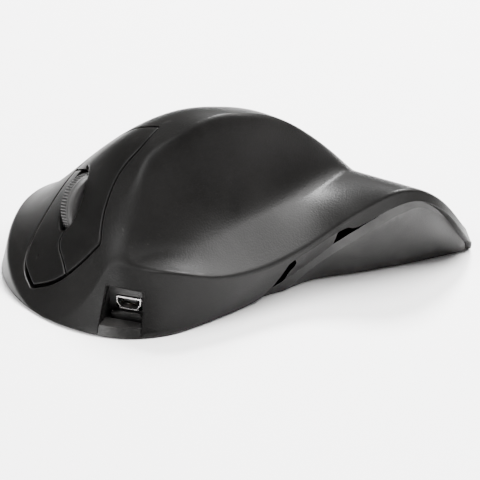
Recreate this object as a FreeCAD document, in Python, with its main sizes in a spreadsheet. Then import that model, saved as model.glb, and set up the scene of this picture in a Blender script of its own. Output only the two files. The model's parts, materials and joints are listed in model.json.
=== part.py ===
import FreeCAD, Part
import Sketcher
import math
import os
import re

# A right-handed ergonomic mouse that carries the whole hand, in millimetres.
# The front points along -Y, the thumb lies on the +X side and Z is up.
# The origin is on the table, at the middle of the box that bounds the mouse.

doc = FreeCAD.newDocument("ErgonomicMouse")
sheet = doc.addObject("Spreadsheet::Sheet", "Sizes")

# Driving sizes: name, value and what it is.
sizes = [
    ("grid_step", 3.0, "spacing of the points that carry the freeform surfaces"),
    ("foot_rise", 0.6, "height of the shells above the table"),
    ("top_wall", 2.0, "wall of the upper shell"),
    ("base_wall", 1.6, "wall of the lower shell"),
    ("seam_gap", 0.2, "gap between the two shells"),
    ("crest_blend", 5.0, "width over which the hump rounds into the thumb scoop"),
    ("fall_power", 2.5, "shape of the fall towards the ring finger"),
    ("scoop_lift", 5.0, "rise of the hump line over 40 mm towards the thumb"),
    ("arch_slope", 1.9, "slope of the wall under the thumb wing"),
    ("arch_blend", 2.0, "rounding under the thumb wing"),
    ("finger_yaw", -6.0, "turn of the finger frame about Z"),
    ("finger_tilt", -15.0, "sideways lean of the finger frame"),
    ("finger_pitch", 52.0, "forward lean of the finger frame"),
    ("wheel_x", -16.63, "middle of the scroll wheel"),
    ("wheel_y", -41.76, "middle of the scroll wheel"),
    ("wheel_z", 23.41, "middle of the scroll wheel"),
    ("wheel_diameter", 22.0, "over the tyre"),
    ("wheel_width", 5.6, "over the tyre"),
    ("tyre_wall", 3.0, "thickness of the tyre over the hub"),
    ("hub_width", 4.6, "rim of the hub"),
    ("hub_web", 1.6, "disc of the hub"),
    ("hub_boss", 6.0, "diameter of the boss round the axle"),
    ("tread_width", 2.8, "ribbed middle of the tyre"),
    ("tread_depth", 0.45, "depth of the grooves"),
    ("rib_count", 72, "grooves round the tyre"),
    ("axle_diameter", 2.4, "steel axle"),
    ("axle_length", 12.4, "steel axle"),
    ("running_gap", 0.06, "radial clearance of a turning fit"),
    ("button_wall", 1.8, "wall of the buttons"),
    ("button_gap", 0.45, "gap round the buttons"),
    ("front_gap", 1.3, "wider gap below the front edge of the buttons"),
    ("split_gap", 0.5, "gap between the two buttons"),
    ("slot_length", 20.6, "wheel slot in the buttons"),
    ("slot_y", -0.3, "middle of the slot, from the wheel's"),
    ("slot_index", 4.5, "half width of the slot towards the index finger"),
    ("slot_middle", 4.8, "half width of the slot towards the middle finger"),
    ("rear_split", 9.4, "rear end of the middle finger's button"),
    ("index_pivot_y", 19.0, "pivot of the index finger's button in the finger frame"),
    ("middle_pivot_y", 6.8, "pivot of the middle finger's button in the finger frame"),
    ("pivot_z", -1.5, "both pivots in the finger frame"),
    ("lug_width", 2.2, "lugs that hold the pivot pins"),
    ("pivot_diameter", 1.6, "steel pin"),
    ("barrel_diameter", 3.6, "barrels of the buttons on the pin"),
    ("board_top", -5.2, "top of the finger board in the finger frame"),
    ("board_thickness", 1.4, "finger board"),
    ("carrier_post", 4.4, "diameter of the posts under the carrier"),
    ("carrier_thickness", 1.8, "plastic carrier below the finger board"),
    ("index_switch_x", 9.6, "microswitch of the index finger, from the wheel"),
    ("middle_switch_x", -11.0, "microswitch of the middle finger, from the wheel"),
    ("switch_y", -5.0, "middle of the microswitches"),
    ("switch_length", 12.8, "microswitch"),
    ("switch_width", 5.8, "microswitch"),
    ("switch_height", 6.5, "microswitch"),
    ("plunger_width", 2.0, "microswitch plunger"),
    ("plunger_rise", 0.8, "microswitch plunger above its body"),
    ("plunger_seat", 1.2, "depth of the well that guides the plunger"),
    ("slide_gap", 0.08, "clearance round a plunger"),
    ("touch_gap", 0.15, "gap between a stem and what it presses"),
    ("cradle_gap", 0.3, "tyre to the cradle's bars"),
    ("cradle_bar", 3.6, "rear bar of the cradle, round its pivot"),
    ("cradle_arm", 1.5, "thickness of the cradle's arms"),
    ("cradle_height", 3.2, "height of the cradle's frame"),
    ("wheel_side_gap", 0.5, "wheel to the cradle's arms"),
    ("encoder_width", 3.0, "rotary encoder on the cradle"),
    ("encoder_size", 9.2, "rotary encoder on the cradle"),
    ("tact_gap", 0.7, "tyre to the switch under the cradle's front bar"),
    ("tact_size", 6.0, "switch under the wheel"),
    ("tact_height", 2.6, "switch under the wheel"),
    ("tact_button", 3.2, "diameter of that switch's plunger"),
    ("main_board_top", 5.2, "top of the main board above the table"),
    ("main_board_thickness", 1.6, "main board"),
    ("usb_x", 13.9, "middle of the socket's mouth"),
    ("usb_y", -55.4, "middle of the socket's mouth"),
    ("usb_yaw", 26.0, "turn of the socket towards the thumb side"),
    ("usb_width", 7.7, "metal shell of the socket"),
    ("usb_height", 3.9, "metal shell of the socket"),
    ("usb_depth", 9.2, "metal shell of the socket"),
    ("usb_sheet", 0.35, "sheet of the metal shell"),
    ("notch_width", 12.6, "recess round the socket"),
    ("notch_top", 12.8, "top of the recess above the table"),
    ("notch_sill", 3.3, "sill of the recess above the table"),
    ("notch_depth", 14.0, "reach of the recess from the socket's mouth forwards"),
    ("bezel_wall", 1.2, "panel round the socket"),
    ("screw_head", 3.8, "diameter of the case screws' heads"),
    ("screw_shank", 2.2, "diameter of the case screws"),
    ("screw_length", 6.5, "under the head"),
    ("post_diameter", 6.4, "screw posts"),
    ("post_top", 6.0, "top of the lower screw posts above the table"),
    ("lens_x", 8.0, "optical sensor"),
    ("lens_y", -6.0, "optical sensor"),
    ("lens_opening", 8.0, "hole in the base below the sensor"),
    ("battery_length", 34.0, "along X"),
    ("battery_width", 22.0, "along Y"),
    ("battery_height", 6.0, "cell in its wrapper"),
    ("battery_x", -2.0, "middle of the cell"),
    ("battery_y", 39.4, "middle of the cell"),
    ("slider_x", -24.0, "power switch"),
    ("slider_y", 6.0, "power switch"),
    ("slider_travel", 2.0, "power switch"),
    ("slider_size", 3.0, "length of the power slider"),
]
for row, (alias, value, note) in enumerate(sizes, start=1):
    sheet.set("A%d" % row, alias)
    sheet.set("B%d" % row, str(value))
    sheet.set("C%d" % row, note)
    sheet.setAlias("B%d" % row, alias)
doc.recompute()
size = {alias: float(sheet.get(alias)) for alias, value, note in sizes}

# Lines of the hand form along the mouse: pairs of y and the value there.
spine_x = [(-75, 0), (-50, 3), (-40, 6), (-30, 10), (-20, 15), (0, 18), (25, 15), (50, 8), (75, 5)]
spine_height = [
    (-71, 0.5), (-60, 14), (-50, 29), (-41, 43.5), (-31, 52), (-20, 56.3), (-10, 55),
    (0, 51.5), (12, 43.4), (24, 32.6), (36, 21.5), (48, 13.5), (60, 7), (70, 4),
]
fall_width = [(-75, 36), (-60, 40), (-45, 44), (-30, 49), (-10, 52), (10, 52), (40, 50), (75, 48)]
flare_height = [(-75, 1), (-60, 5.5), (-40, 8.6), (-20, 8.8), (20, 8.5), (50, 6), (75, 3)]
scoop_x = [
    (-60, 13), (-50, 18), (-42, 22), (-34, 25), (-23, 27.5), (-2, 32.2), (16, 35.5),
    (32, 38), (46, 40), (60, 40),
]
scoop_height = [
    (-60, 18.3), (-50, 20.5), (-40, 22.4), (-30, 24.3), (-15, 26.2), (0, 27.8), (14, 30.5),
    (22, 31), (28, 28.8), (36, 23.5), (44, 17), (52, 11), (60, 7), (68, 4),
]
scoop_slope = [
    (-60, 0.7), (-50, 1.0), (-44, 1.8), (-38, 2.0), (-31, 2.7), (-25, 3.5), (-15, 4.5),
    (0, 4.5), (20, 3.5), (40, 2), (60, 1),
]
scoop_foot = [(-60, 5.5), (-15, 5.6), (0, 7.2), (15, 9.6), (30, 14.4), (45, 21), (60, 24)]
scoop_bend = [(-60, 3), (-45, 5), (-38, 10), (-25, 18), (-10, 24), (10, 24), (25, 14), (40, 8), (60, 6)]
floor_slope = [
    (-60, 0), (-51, 0.05), (-44, 0.3), (-37.5, 0.57), (-31, 0.74), (-24.8, 0.84), (-14.6, 0.84),
    (-7.3, 0.7), (-1.3, 0.48), (4.5, 0.22), (10.4, 0.02), (16, -0.09), (21.5, -0.09), (27.4, -0.05),
    (33.7, 0), (40.7, 0.1), (48.5, 0.16), (60, 0.05),
]
arch_x = [
    (-40, 30.3), (-24, 30.8), (-13, 31.3), (-4.5, 31.6), (4.7, 33.3), (11.3, 36.6), (17.2, 39.7),
    (23.4, 42.4), (29.7, 45.3), (36.2, 47.9), (43.2, 50.4), (50.6, 53), (62, 57.5),
]

# The side wall: x and y of its lower edge, the height of that edge, how far
# the wall leans inwards from there, and over which rise.
wall_points = [
    (-59.3, -13, 0, 1.2, 8), (-55.8, -38.3, 0, 1.2, 8), (-45.8, -55.6, 0, 2, 8),
    (-28.6, -67, 0, 1.5, 8), (-8, -71.2, 0, 3.5, 10), (8, -69, 0, 14, 22), (20, -62.5, 0, 10.5, 19),
    (27.6, -51, 0, 2, 18.5), (30, -37, 0, -4.5, 16.6), (31.2, -24, 0.8, -7, 15.1), (32.8, -13, 2.6, -7.5, 14.5),
    (35.5, -4.5, 6.4, -7, 12.9), (39.3, 2, 12, -5.5, 10), (44, 7, 18.1, -3.5, 7.6), (49, 11.5, 23.1, -1.5, 6.6),
    (53.5, 16, 26.9, 0, 5.5), (57, 21, 28.3, 1, 4.6), (59.5, 27, 26.1, 1.5, 4.3), (60.8, 33.5, 20.6, 1.8, 4.7),
    (60.8, 41, 11.9, 1.8, 5.8), (58, 49.5, 5, 2, 5.5), (51, 57.5, 2, 3, 5.8),
    (36, 64.5, 0.8, 4, 5), (12, 69.5, 0.3, 4, 5), (-10, 71, 0, 4, 5), (-29, 66, 0, 4, 5),
    (-43, 46, 0, 3, 6), (-53, 18, 0, 3, 8),
]

# Outline of the two buttons together, in the finger frame, from the rear tip
# down the thumb side, along the front and up the outer side.
thumb_edge = [(23.3, 26.8), (22.3, 18.2), (18.9, 11.3), (16.5, 2.6), (16.3, -4.5), (17.9, -11.8)]
front_edge = [(17.9, -11.8), (12.1, -19.8), (5.3, -26.6), (-2.9, -30)]
outer_edge = [(-2.9, -30), (-9.1, -25), (-12.5, -17), (-12.3, -4), (-7.3, 11), (4.7, 22.8), (23.3, 26.8)]
# The split from the slot's front end to the front edge, and on past it.
split_line = [(1.3, -10), (0.8, -14.3), (4.3, -18.6), (9.1, -24.2), (12.1, -28)]


def natural_spline(points):
    """Coefficients of the smooth curve through pairs of position and value."""
    count = len(points)
    steps = [points[i + 1][0] - points[i][0] for i in range(count - 1)]
    slopes = [(points[i + 1][1] - points[i][1]) / steps[i] for i in range(count - 1)]
    bends = [0.0] * count
    scale = [0.0] * count
    shift = [0.0] * count
    for i in range(1, count - 1):
        pivot = 2.0 * (steps[i - 1] + steps[i]) - steps[i - 1] * scale[i - 1]
        scale[i] = steps[i] / pivot
        shift[i] = (6.0 * (slopes[i] - slopes[i - 1]) - steps[i - 1] * shift[i - 1]) / pivot
    for i in range(count - 2, 0, -1):
        bends[i] = shift[i] - scale[i] * bends[i + 1]
    return points, steps, slopes, bends


def on_spline(spline, place):
    """Value of a spline at a place, going on straight beyond its ends."""
    points, steps, slopes, bends = spline
    last = len(points) - 1
    if place <= points[0][0]:
        end_slope = slopes[0] - steps[0] * bends[1] / 6.0
        return points[0][1] + end_slope * (place - points[0][0])
    if place >= points[last][0]:
        end_slope = slopes[-1] + steps[-1] * bends[last - 1] / 6.0
        return points[last][1] + end_slope * (place - points[last][0])
    i = 0
    while place > points[i + 1][0]:
        i += 1
    before = (points[i + 1][0] - place) / steps[i]
    after = 1.0 - before
    straight = before * points[i][1] + after * points[i + 1][1]
    bend = (before ** 3 - before) * bends[i] + (after ** 3 - after) * bends[i + 1]
    return straight + bend * steps[i] ** 2 / 6.0


spine_x_line = natural_spline(spine_x)
spine_height_line = natural_spline(spine_height)
fall_width_line = natural_spline(fall_width)
flare_height_line = natural_spline(flare_height)
scoop_x_line = natural_spline(scoop_x)
scoop_height_line = natural_spline(scoop_height)
scoop_slope_line = natural_spline(scoop_slope)
scoop_foot_line = natural_spline(scoop_foot)
scoop_bend_line = natural_spline(scoop_bend)
floor_slope_line = natural_spline(floor_slope)
arch_x_line = natural_spline(arch_x)


def smooth_lower(first, second, blend):
    """The lower of two heights, rounded where they meet."""
    mix = min(1.0, max(0.0, 0.5 + 0.5 * (second - first) / blend))
    return second * (1.0 - mix) + first * mix - blend * mix * (1.0 - mix)


def hump(x, y):
    """Height of the palm rest, which falls towards the ring finger."""
    ridge = on_spline(spine_height_line, y)
    aside = on_spline(spine_x_line, y) - x
    if aside < 0.0:
        return ridge + size["scoop_lift"] * (aside / 40.0) ** 2
    flare = on_spline(flare_height_line, y)
    fall = math.exp(-(aside / on_spline(fall_width_line, y)) ** size["fall_power"])
    return flare + (ridge - flare) * fall


def scoop(x, y):
    """Height of the thumb scoop and of the wing that goes out from it."""
    aside = on_spline(scoop_x_line, y) - x
    level = on_spline(scoop_height_line, y)
    floor = level + on_spline(floor_slope_line, y) * aside
    side = level + on_spline(scoop_slope_line, y) * (aside - on_spline(scoop_foot_line, y))
    return -smooth_lower(-floor, -side, on_spline(scoop_bend_line, y))


def steepness(height, x, y):
    """Length of a surface normal whose upward part is 1."""
    reach = 0.2
    along_x = (height(x + reach, y) - height(x - reach, y)) / (2.0 * reach)
    along_y = (height(x, y + reach) - height(x, y - reach)) / (2.0 * reach)
    return math.sqrt(1.0 + along_x ** 2 + along_y ** 2)


def top_height(x, y, depth=0.0):
    """Height of the upper surface, or of the surface that lies depth below it."""
    hump_height = hump(x, y)
    scoop_floor = scoop(x, y)
    if depth:
        hump_height -= depth * steepness(hump, x, y)
        scoop_floor -= depth * steepness(scoop, x, y)
    return smooth_lower(hump_height, scoop_floor, size["crest_blend"])


def arch_wall(x, y):
    """Height of the slanted wall under the thumb wing."""
    return size["arch_slope"] * (x - on_spline(arch_x_line, y))


def underside_height(x, y):
    """Height of the open space under the thumb wing."""
    wing_depth = size["top_wall"] + size["seam_gap"] + size["base_wall"]
    return smooth_lower(top_height(x, y) - wing_depth, arch_wall(x, y), size["arch_blend"])


def base_inner_height(x, y):
    """Height of the inner face of the lower shell."""
    floor = size["foot_rise"] + size["base_wall"]
    rise = arch_wall(x, y) + size["base_wall"] * math.hypot(1.0, size["arch_slope"])
    slanted = -smooth_lower(-floor, -rise, size["arch_blend"])
    return smooth_lower(top_height(x, y, size["top_wall"] + size["seam_gap"]), slanted, size["arch_blend"])


def space_below(height):
    """A solid that fills the space below a height field."""
    step = size["grid_step"]
    reach_x = 78.0
    reach_y = 84.0
    columns = int(2 * reach_x / step) + 1
    rows = int(2 * reach_y / step) + 1
    grid = []
    for i in range(columns):
        x = -reach_x + i * step
        line = []
        for j in range(rows):
            y = -reach_y + j * step
            line.append(FreeCAD.Vector(x, y, height(x, y)))
        grid.append(line)
    surface = Part.BSplineSurface()
    surface.interpolate(grid)
    depth = 160.0
    return surface.toShape().extrude(FreeCAD.Vector(0, 0, -depth))


def wall_ring(inset, part_of_rise, level=None):
    """A closed curve round the side wall, at a part of its rise or at one level."""
    count = len(wall_points)
    spacing = [0.0]
    ring = []
    for i, (x, y, rim, lean, rise) in enumerate(wall_points):
        before = wall_points[i - 1]
        after = wall_points[(i + 1) % count]
        along = FreeCAD.Vector(after[0] - before[0], after[1] - before[1], 0).normalize()
        inwards = FreeCAD.Vector(-along.y, along.x, 0)
        height = rim + rise * part_of_rise if level is None else level
        ring.append(FreeCAD.Vector(x, y, height) + inwards * (inset + lean * part_of_rise))
        spacing.append(spacing[-1] + math.sqrt(math.hypot(after[0] - x, after[1] - y)))
    curve = Part.BSplineCurve()
    curve.interpolate(Points=ring, PeriodicFlag=True, Parameters=spacing)
    return Part.Wire([curve.toShape()])


def wall_solid(inset):
    """Everything inside the side wall, moved inwards by inset."""
    lowest = -6.0
    highest = 75.0
    over_lip = 1.8
    rings = [
        wall_ring(inset, 0.0, lowest),
        wall_ring(inset, 0.0),
        wall_ring(inset, over_lip),
        wall_ring(inset, over_lip, highest),
    ]
    return Part.makeLoft(rings, True, True)


def formula(text):
    """A formula on the sizes, with each alias written as the sheet's own."""
    return re.sub(r"[a-z]+(_[a-z]+)+", lambda found: "Sizes." + found.group(0), text)


cradle_end = "(wheel_diameter / 2 + cradle_gap + cradle_bar / 2)"
tact_place = "(wheel_diameter / 2 + tact_gap + tact_size / 2)"
cradle_reach = "(%s + tact_button / 2 + 0.4)" % tact_place
finger_frame = "placement(vector(wheel_x; wheel_y; wheel_z); rotation(finger_yaw; finger_tilt; finger_pitch))"
usb_frame = "placement(vector(usb_x; usb_y; 0); rotation(usb_yaw; 0; 0))"
finger_rotation = FreeCAD.Rotation(size["finger_yaw"], size["finger_tilt"], size["finger_pitch"])
wheel_middle = FreeCAD.Vector(size["wheel_x"], size["wheel_y"], size["wheel_z"])
finger_place = FreeCAD.Placement(wheel_middle, finger_rotation)
usb_mouth = FreeCAD.Vector(size["usb_x"], size["usb_y"], 0)
usb_place = FreeCAD.Placement(usb_mouth, FreeCAD.Rotation(size["usb_yaw"], 0, 0))
parts = {}
own_places = {}


def finish(node, shape_object, frame=None):
    """Give a sub-part its name and, where it has one, its own frame."""
    shape_object.Label = node
    if frame:
        own = own_places.get(shape_object.Name)
        whole = "%s * %s" % (frame, own) if own else frame
        shape_object.setExpression("Placement", formula(whole))
    parts[node] = shape_object
    return shape_object


def placed(shape_object, x, y, z, tilt=0):
    """Bind an object's place to formulas, and keep them for its sub-part."""
    place = "placement(vector(%s; %s; %s); rotation(0; %d; 0))" % (x, y, z, tilt)
    shape_object.setExpression("Placement", formula(place))
    own_places[shape_object.Name] = place
    return shape_object


def box(name, length, width, height, x="0", y="0", z="0"):
    """A block centred on x and y that stands on z."""
    block = doc.addObject("Part::Box", name)
    block.setExpression("Length", formula(length))
    block.setExpression("Width", formula(width))
    block.setExpression("Height", formula(height))
    return placed(block, "(%s) - (%s) / 2" % (x, length), "(%s) - (%s) / 2" % (y, width), z)


def rod(name, diameter, length, x="0", y="0", z="0"):
    """A cylinder along X, centred on x."""
    cylinder = doc.addObject("Part::Cylinder", name)
    cylinder.setExpression("Radius", formula("(%s) / 2" % diameter))
    cylinder.setExpression("Height", formula(length))
    return placed(cylinder, "(%s) - (%s) / 2" % (x, length), y, z, 90)


def column(name, diameter, height, x="0", y="0", z="0"):
    """A cylinder along Z that stands on z."""
    cylinder = doc.addObject("Part::Cylinder", name)
    cylinder.setExpression("Radius", formula("(%s) / 2" % diameter))
    cylinder.setExpression("Height", formula(height))
    return placed(cylinder, x, y, z)


def fuse(name, *pieces):
    joined = doc.addObject("Part::MultiFuse", name)
    joined.Shapes = list(pieces)
    return joined


def cut(name, base, *tools):
    remains = doc.addObject("Part::Cut", name)
    remains.Base = base
    remains.Tool = tools[0] if len(tools) == 1 else fuse(name + "_tools", *tools)
    return remains


def feature(node, shape):
    """A freeform sub-part, whose shape is worked out from the sizes."""
    freeform = doc.addObject("Part::Feature", node)
    freeform.Label = node
    freeform.Shape = shape
    parts[node] = freeform


def origin_item(body, role):
    return [item for item in body.Origin.OriginFeatures if item.Role == role][0]


def outline_sketch(body, name, plane, corners):
    """A closed outline of straight sides, each corner held by two formulas."""
    sketch = body.newObject("Sketcher::SketchObject", name)
    sketch.AttachmentSupport = [(origin_item(body, plane), "")]
    sketch.MapMode = "FlatFace"
    doc.recompute()
    values = [[evaluate(text) for text in corner] for corner in corners]
    count = len(corners)
    for i in range(count):
        start = FreeCAD.Vector(values[i][0], values[i][1], 0)
        end = FreeCAD.Vector(values[(i + 1) % count][0], values[(i + 1) % count][1], 0)
        sketch.addGeometry(Part.LineSegment(start, end), False)
    for i in range(count):
        sketch.addConstraint(Sketcher.Constraint("Coincident", i, 2, (i + 1) % count, 1))
    for i, corner in enumerate(corners):
        for kind, text, value in (("DistanceX", corner[0], values[i][0]), ("DistanceY", corner[1], values[i][1])):
            index = sketch.addConstraint(Sketcher.Constraint(kind, -1, 1, i, 1, value))
            sketch.setExpression("Constraints[%d]" % index, formula(text))
    return sketch


def evaluate(text):
    """Value of a formula on the sizes."""
    return float(sheet.evalExpression(formula(text)))


def turned(body, name, corners):
    """A revolution of an outline in the XY plane about the X axis."""
    sketch = outline_sketch(body, name + "_outline", "XY_Plane", corners)
    revolution = body.newObject("PartDesign::Revolution", name)
    revolution.Profile = sketch
    revolution.ReferenceAxis = (sketch, ["H_Axis"])
    revolution.Angle = 360.0
    return revolution


def repeated_pocket(body, name, corners, length, count):
    """A pocket across the X axis, repeated round it."""
    sketch = outline_sketch(body, name + "_outline", "YZ_Plane", corners)
    pocket = body.newObject("PartDesign::Pocket", name)
    pocket.Profile = sketch
    pocket.Type = 0
    pocket.Midplane = True
    pocket.setExpression("Length", formula(length))
    doc.recompute()
    pattern = body.newObject("PartDesign::PolarPattern", name + "_pattern")
    pattern.Originals = [pocket]
    pattern.Axis = (origin_item(body, "X_Axis"), [""])
    pattern.Angle = 360.0
    pattern.setExpression("Occurrences", formula(count))
    body.Tip = pattern
    return pattern


def make_wheel():
    """Tyre, hub and axle, which turn together."""
    tyre = doc.addObject("PartDesign::Body", "wheel_tyre")
    half = "wheel_width / 2"
    tread = "tread_width / 2"
    radius = "wheel_diameter / 2"
    seat = "wheel_diameter / 2 - tyre_wall"
    turned(tyre, "tyre_ring", [
        ("-(%s)" % half, seat), ("-(%s)" % half, radius + " - 1.3"),
        ("-(%s) + 0.7" % half, radius + " - 0.4"), ("-(%s)" % tread, radius + " - 0.05"),
        (tread, radius + " - 0.05"), ("%s - 0.7" % half, radius + " - 0.4"),
        (half, radius + " - 1.3"), (half, seat),
    ])
    doc.recompute()
    groove = "wheel_diameter * 0.6 / rib_count"
    repeated_pocket(tyre, "tyre_grooves", [
        ("-(%s)" % groove, radius + " + 0.5"), ("-(%s)" % groove, radius + " - tread_depth"),
        (groove, radius + " - tread_depth"), (groove, radius + " + 0.5"),
    ], "tread_width", "rib_count")
    finish("wheel_tyre", tyre, finger_frame)

    hub = doc.addObject("PartDesign::Body", "wheel_hub")
    rim = "hub_width / 2"
    web = "hub_web / 2"
    boss = "hub_boss / 2"
    bore = "axle_diameter / 2 + running_gap / 2"
    outer = "(wheel_diameter / 2 - tyre_wall - running_gap)"
    turned(hub, "hub_disc", [
        ("-(%s)" % rim, bore), ("-(%s)" % rim, boss), ("-(%s)" % web, boss),
        ("-(%s)" % web, outer + " - 1.6"), ("-(%s)" % rim, outer + " - 1.6"), ("-(%s)" % rim, outer),
        (rim, outer), (rim, outer + " - 1.6"), (web, outer + " - 1.6"), (web, boss), (rim, boss),
        (rim, bore),
    ])
    doc.recompute()
    repeated_pocket(hub, "hub_windows", [
        ("-1.1", boss + " + 0.8"), ("-1.1", outer + " - 2.4"), ("1.1", outer + " - 2.4"),
        ("1.1", boss + " + 0.8"),
    ], "hub_web * 2", "6")
    finish("wheel_hub", hub, finger_frame)
    finish("wheel_axle", rod("wheel_axle", "axle_diameter", "axle_length", "-0.8"), finger_frame)


def make_cradle():
    """The frame that carries the wheel, its pivot pin and the encoder."""
    inside = "wheel_width + 2 * wheel_side_gap"
    outside = "%s + 2 * cradle_arm" % inside
    rear = "%s + cradle_bar / 2" % cradle_end
    frame = box("cradle_block", outside, "%s + %s" % (cradle_reach, rear), "cradle_height",
                y="(%s - %s) / 2" % (rear, cradle_reach), z="-cradle_height / 2")
    opening = box("cradle_opening", inside, "wheel_diameter + 2 * cradle_gap", "cradle_height + 2",
                  z="-cradle_height / 2 - 1")
    bosses = rod("cradle_bosses", "axle_diameter + 3", outside)
    between = box("cradle_between", inside, "axle_diameter + 6", "axle_diameter + 6", z="-axle_diameter / 2 - 3")
    bore = rod("cradle_bore", "axle_diameter + 2 * running_gap", "%s + 2" % outside)
    pin_bore = rod("cradle_pin_bore", "pivot_diameter + 2 * running_gap", "%s + 2" % outside, y=cradle_end)
    whole = fuse("cradle_whole", frame, bosses)
    finish("wheel_cradle", cut("wheel_cradle", whole, opening, between, bore, pin_bore), finger_frame)

    pin_length = "%s + 2 * lug_width + 0.6" % outside
    finish("cradle_pivot", rod("cradle_pivot", "pivot_diameter", pin_length, y=cradle_end), finger_frame)

    arm_face = "-(%s) / 2" % outside
    body = box("encoder_block", "encoder_width", "encoder_size", "encoder_size",
               x="%s - encoder_width / 2" % arm_face, z="-encoder_size / 2")
    shaft_bore = rod("encoder_bore", "axle_diameter + 2 * running_gap", "2 * encoder_width - 1", x=arm_face)
    finish("wheel_encoder", cut("wheel_encoder", body, shaft_bore), finger_frame)
    return outside


def make_finger_board(cradle_outside):
    """The slanted board, its carrier, and the lugs for both pivot pins."""
    chord = "2 * sqrt((wheel_diameter / 2) ^ 2 - board_top ^ 2) + 1.2"
    cut_width = "wheel_width + 2.2"
    level = "board_top - board_thickness"
    front_reach = "(%s + tact_size / 2 + 0.3 - wheel_diameter / 2)" % tact_place
    back = box("board_back", "18.2", "23.5", "board_thickness", x="4.9", y="-0.75", z=level)
    side = box("board_side", "12.6", "16.7", "board_thickness", x="-9.9", y="-4.15", z=level)
    front = box("board_front", "13", "%s + 1" % front_reach, "board_thickness", x="1.5",
                y="-wheel_diameter / 2 + 0.5 - %s / 2" % front_reach, z=level)
    board_slot = box("board_slot", cut_width, chord, "6", z="board_top - 4")
    finish("finger_board", cut("finger_board", fuse("board_whole", back, side, front), board_slot), finger_frame)

    floor = "board_top - board_thickness - carrier_thickness"
    plate = box("carrier_back", "28", "30.4", "carrier_thickness", x="5", y="2.2", z=floor)
    rear = box("carrier_rear", "15", "10", "carrier_thickness", x="11.5", y="18", z=floor)
    side = box("carrier_side", "9", "23", "carrier_thickness", x="-11.7", y="-1.5", z=floor)
    tab = box("carrier_front", "13.5", "6", "carrier_thickness", x="1.25", y="-15", z=floor)
    plate_slot = box("carrier_slot", cut_width, chord, "6", z=floor + " - 2")
    lugs = []
    bores = []
    for name, x, y, z in (
        ("cradle_lug_a", "(%s) / 2 + 0.3 + lug_width / 2" % cradle_outside, cradle_end, "0"),
        ("cradle_lug_b", "-(%s) / 2 - 0.3 - lug_width / 2" % cradle_outside, cradle_end, "0"),
        ("index_lug_a", "5.7", "index_pivot_y", "pivot_z"),
        ("index_lug_b", "17.9", "index_pivot_y", "pivot_z"),
        ("middle_lug_a", "-6.1", "middle_pivot_y", "pivot_z"),
        ("middle_lug_b", "-13.3", "middle_pivot_y", "pivot_z"),
    ):
        top = rod(name + "_top", "barrel_diameter - 0.4", "lug_width", x, y, z)
        foot = box(name + "_foot", "lug_width", "barrel_diameter - 0.4", "%s - (%s)" % (z, floor), x, y, floor)
        bore = rod(name + "_bore", "pivot_diameter + 2 * running_gap", "lug_width + 1", x, y, z)
        lugs += [top, foot]
        bores.append(bore)
    whole = fuse("carrier_whole", plate, rear, side, tab, *lugs)
    finish("finger_carrier", cut("finger_carrier", whole, plate_slot, *bores), finger_frame)

    index_pin = rod("index_pivot", "pivot_diameter", "15", x="11.8", y="index_pivot_y", z="pivot_z")
    finish("index_pivot", index_pin, finger_frame)
    middle_pin = rod("middle_pivot", "pivot_diameter", "9.4", x="-9.9", y="middle_pivot_y", z="pivot_z")
    finish("middle_pivot", middle_pin, finger_frame)


def make_switches():
    """The two microswitches and the switch under the wheel, with their plungers."""
    plunger_y = "switch_y - 2.5"
    well = "plunger_seat + 0.7"
    top = "board_top + switch_height"
    for side, x in (("index", "index_switch_x"), ("middle", "middle_switch_x")):
        block = box(side + "_block", "switch_width", "switch_length", "switch_height", x, "switch_y", "board_top")
        hole = box(side + "_well", "plunger_width + 2 * slide_gap", "plunger_width + 0.8 + 2 * slide_gap",
                   "%s + 1" % well, x, plunger_y, "%s - (%s)" % (top, well))
        finish(side + "_switch", cut(side + "_switch", block, hole), finger_frame)
        plunger = box(side + "_plunger", "plunger_width", "plunger_width + 0.8",
                      "plunger_seat + plunger_rise", x, plunger_y, "%s - plunger_seat" % top)
        finish(side + "_plunger", plunger, finger_frame)
    block = box("tact_block", "tact_size", "tact_size", "tact_height", y="-" + tact_place, z="board_top")
    hole = column("tact_well", "tact_button + 2 * slide_gap", "3", y="-" + tact_place, z="board_top + tact_height - 1.4")
    finish("wheel_switch", cut("wheel_switch", block, hole), finger_frame)
    rise = "-cradle_height / 2 - touch_gap - board_top - tact_height"
    button = column("wheel_plunger", "tact_button", "(%s) + 0.8" % rise, y="-" + tact_place, z="board_top + tact_height - 0.8")
    finish("wheel_plunger", button, finger_frame)


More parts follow.
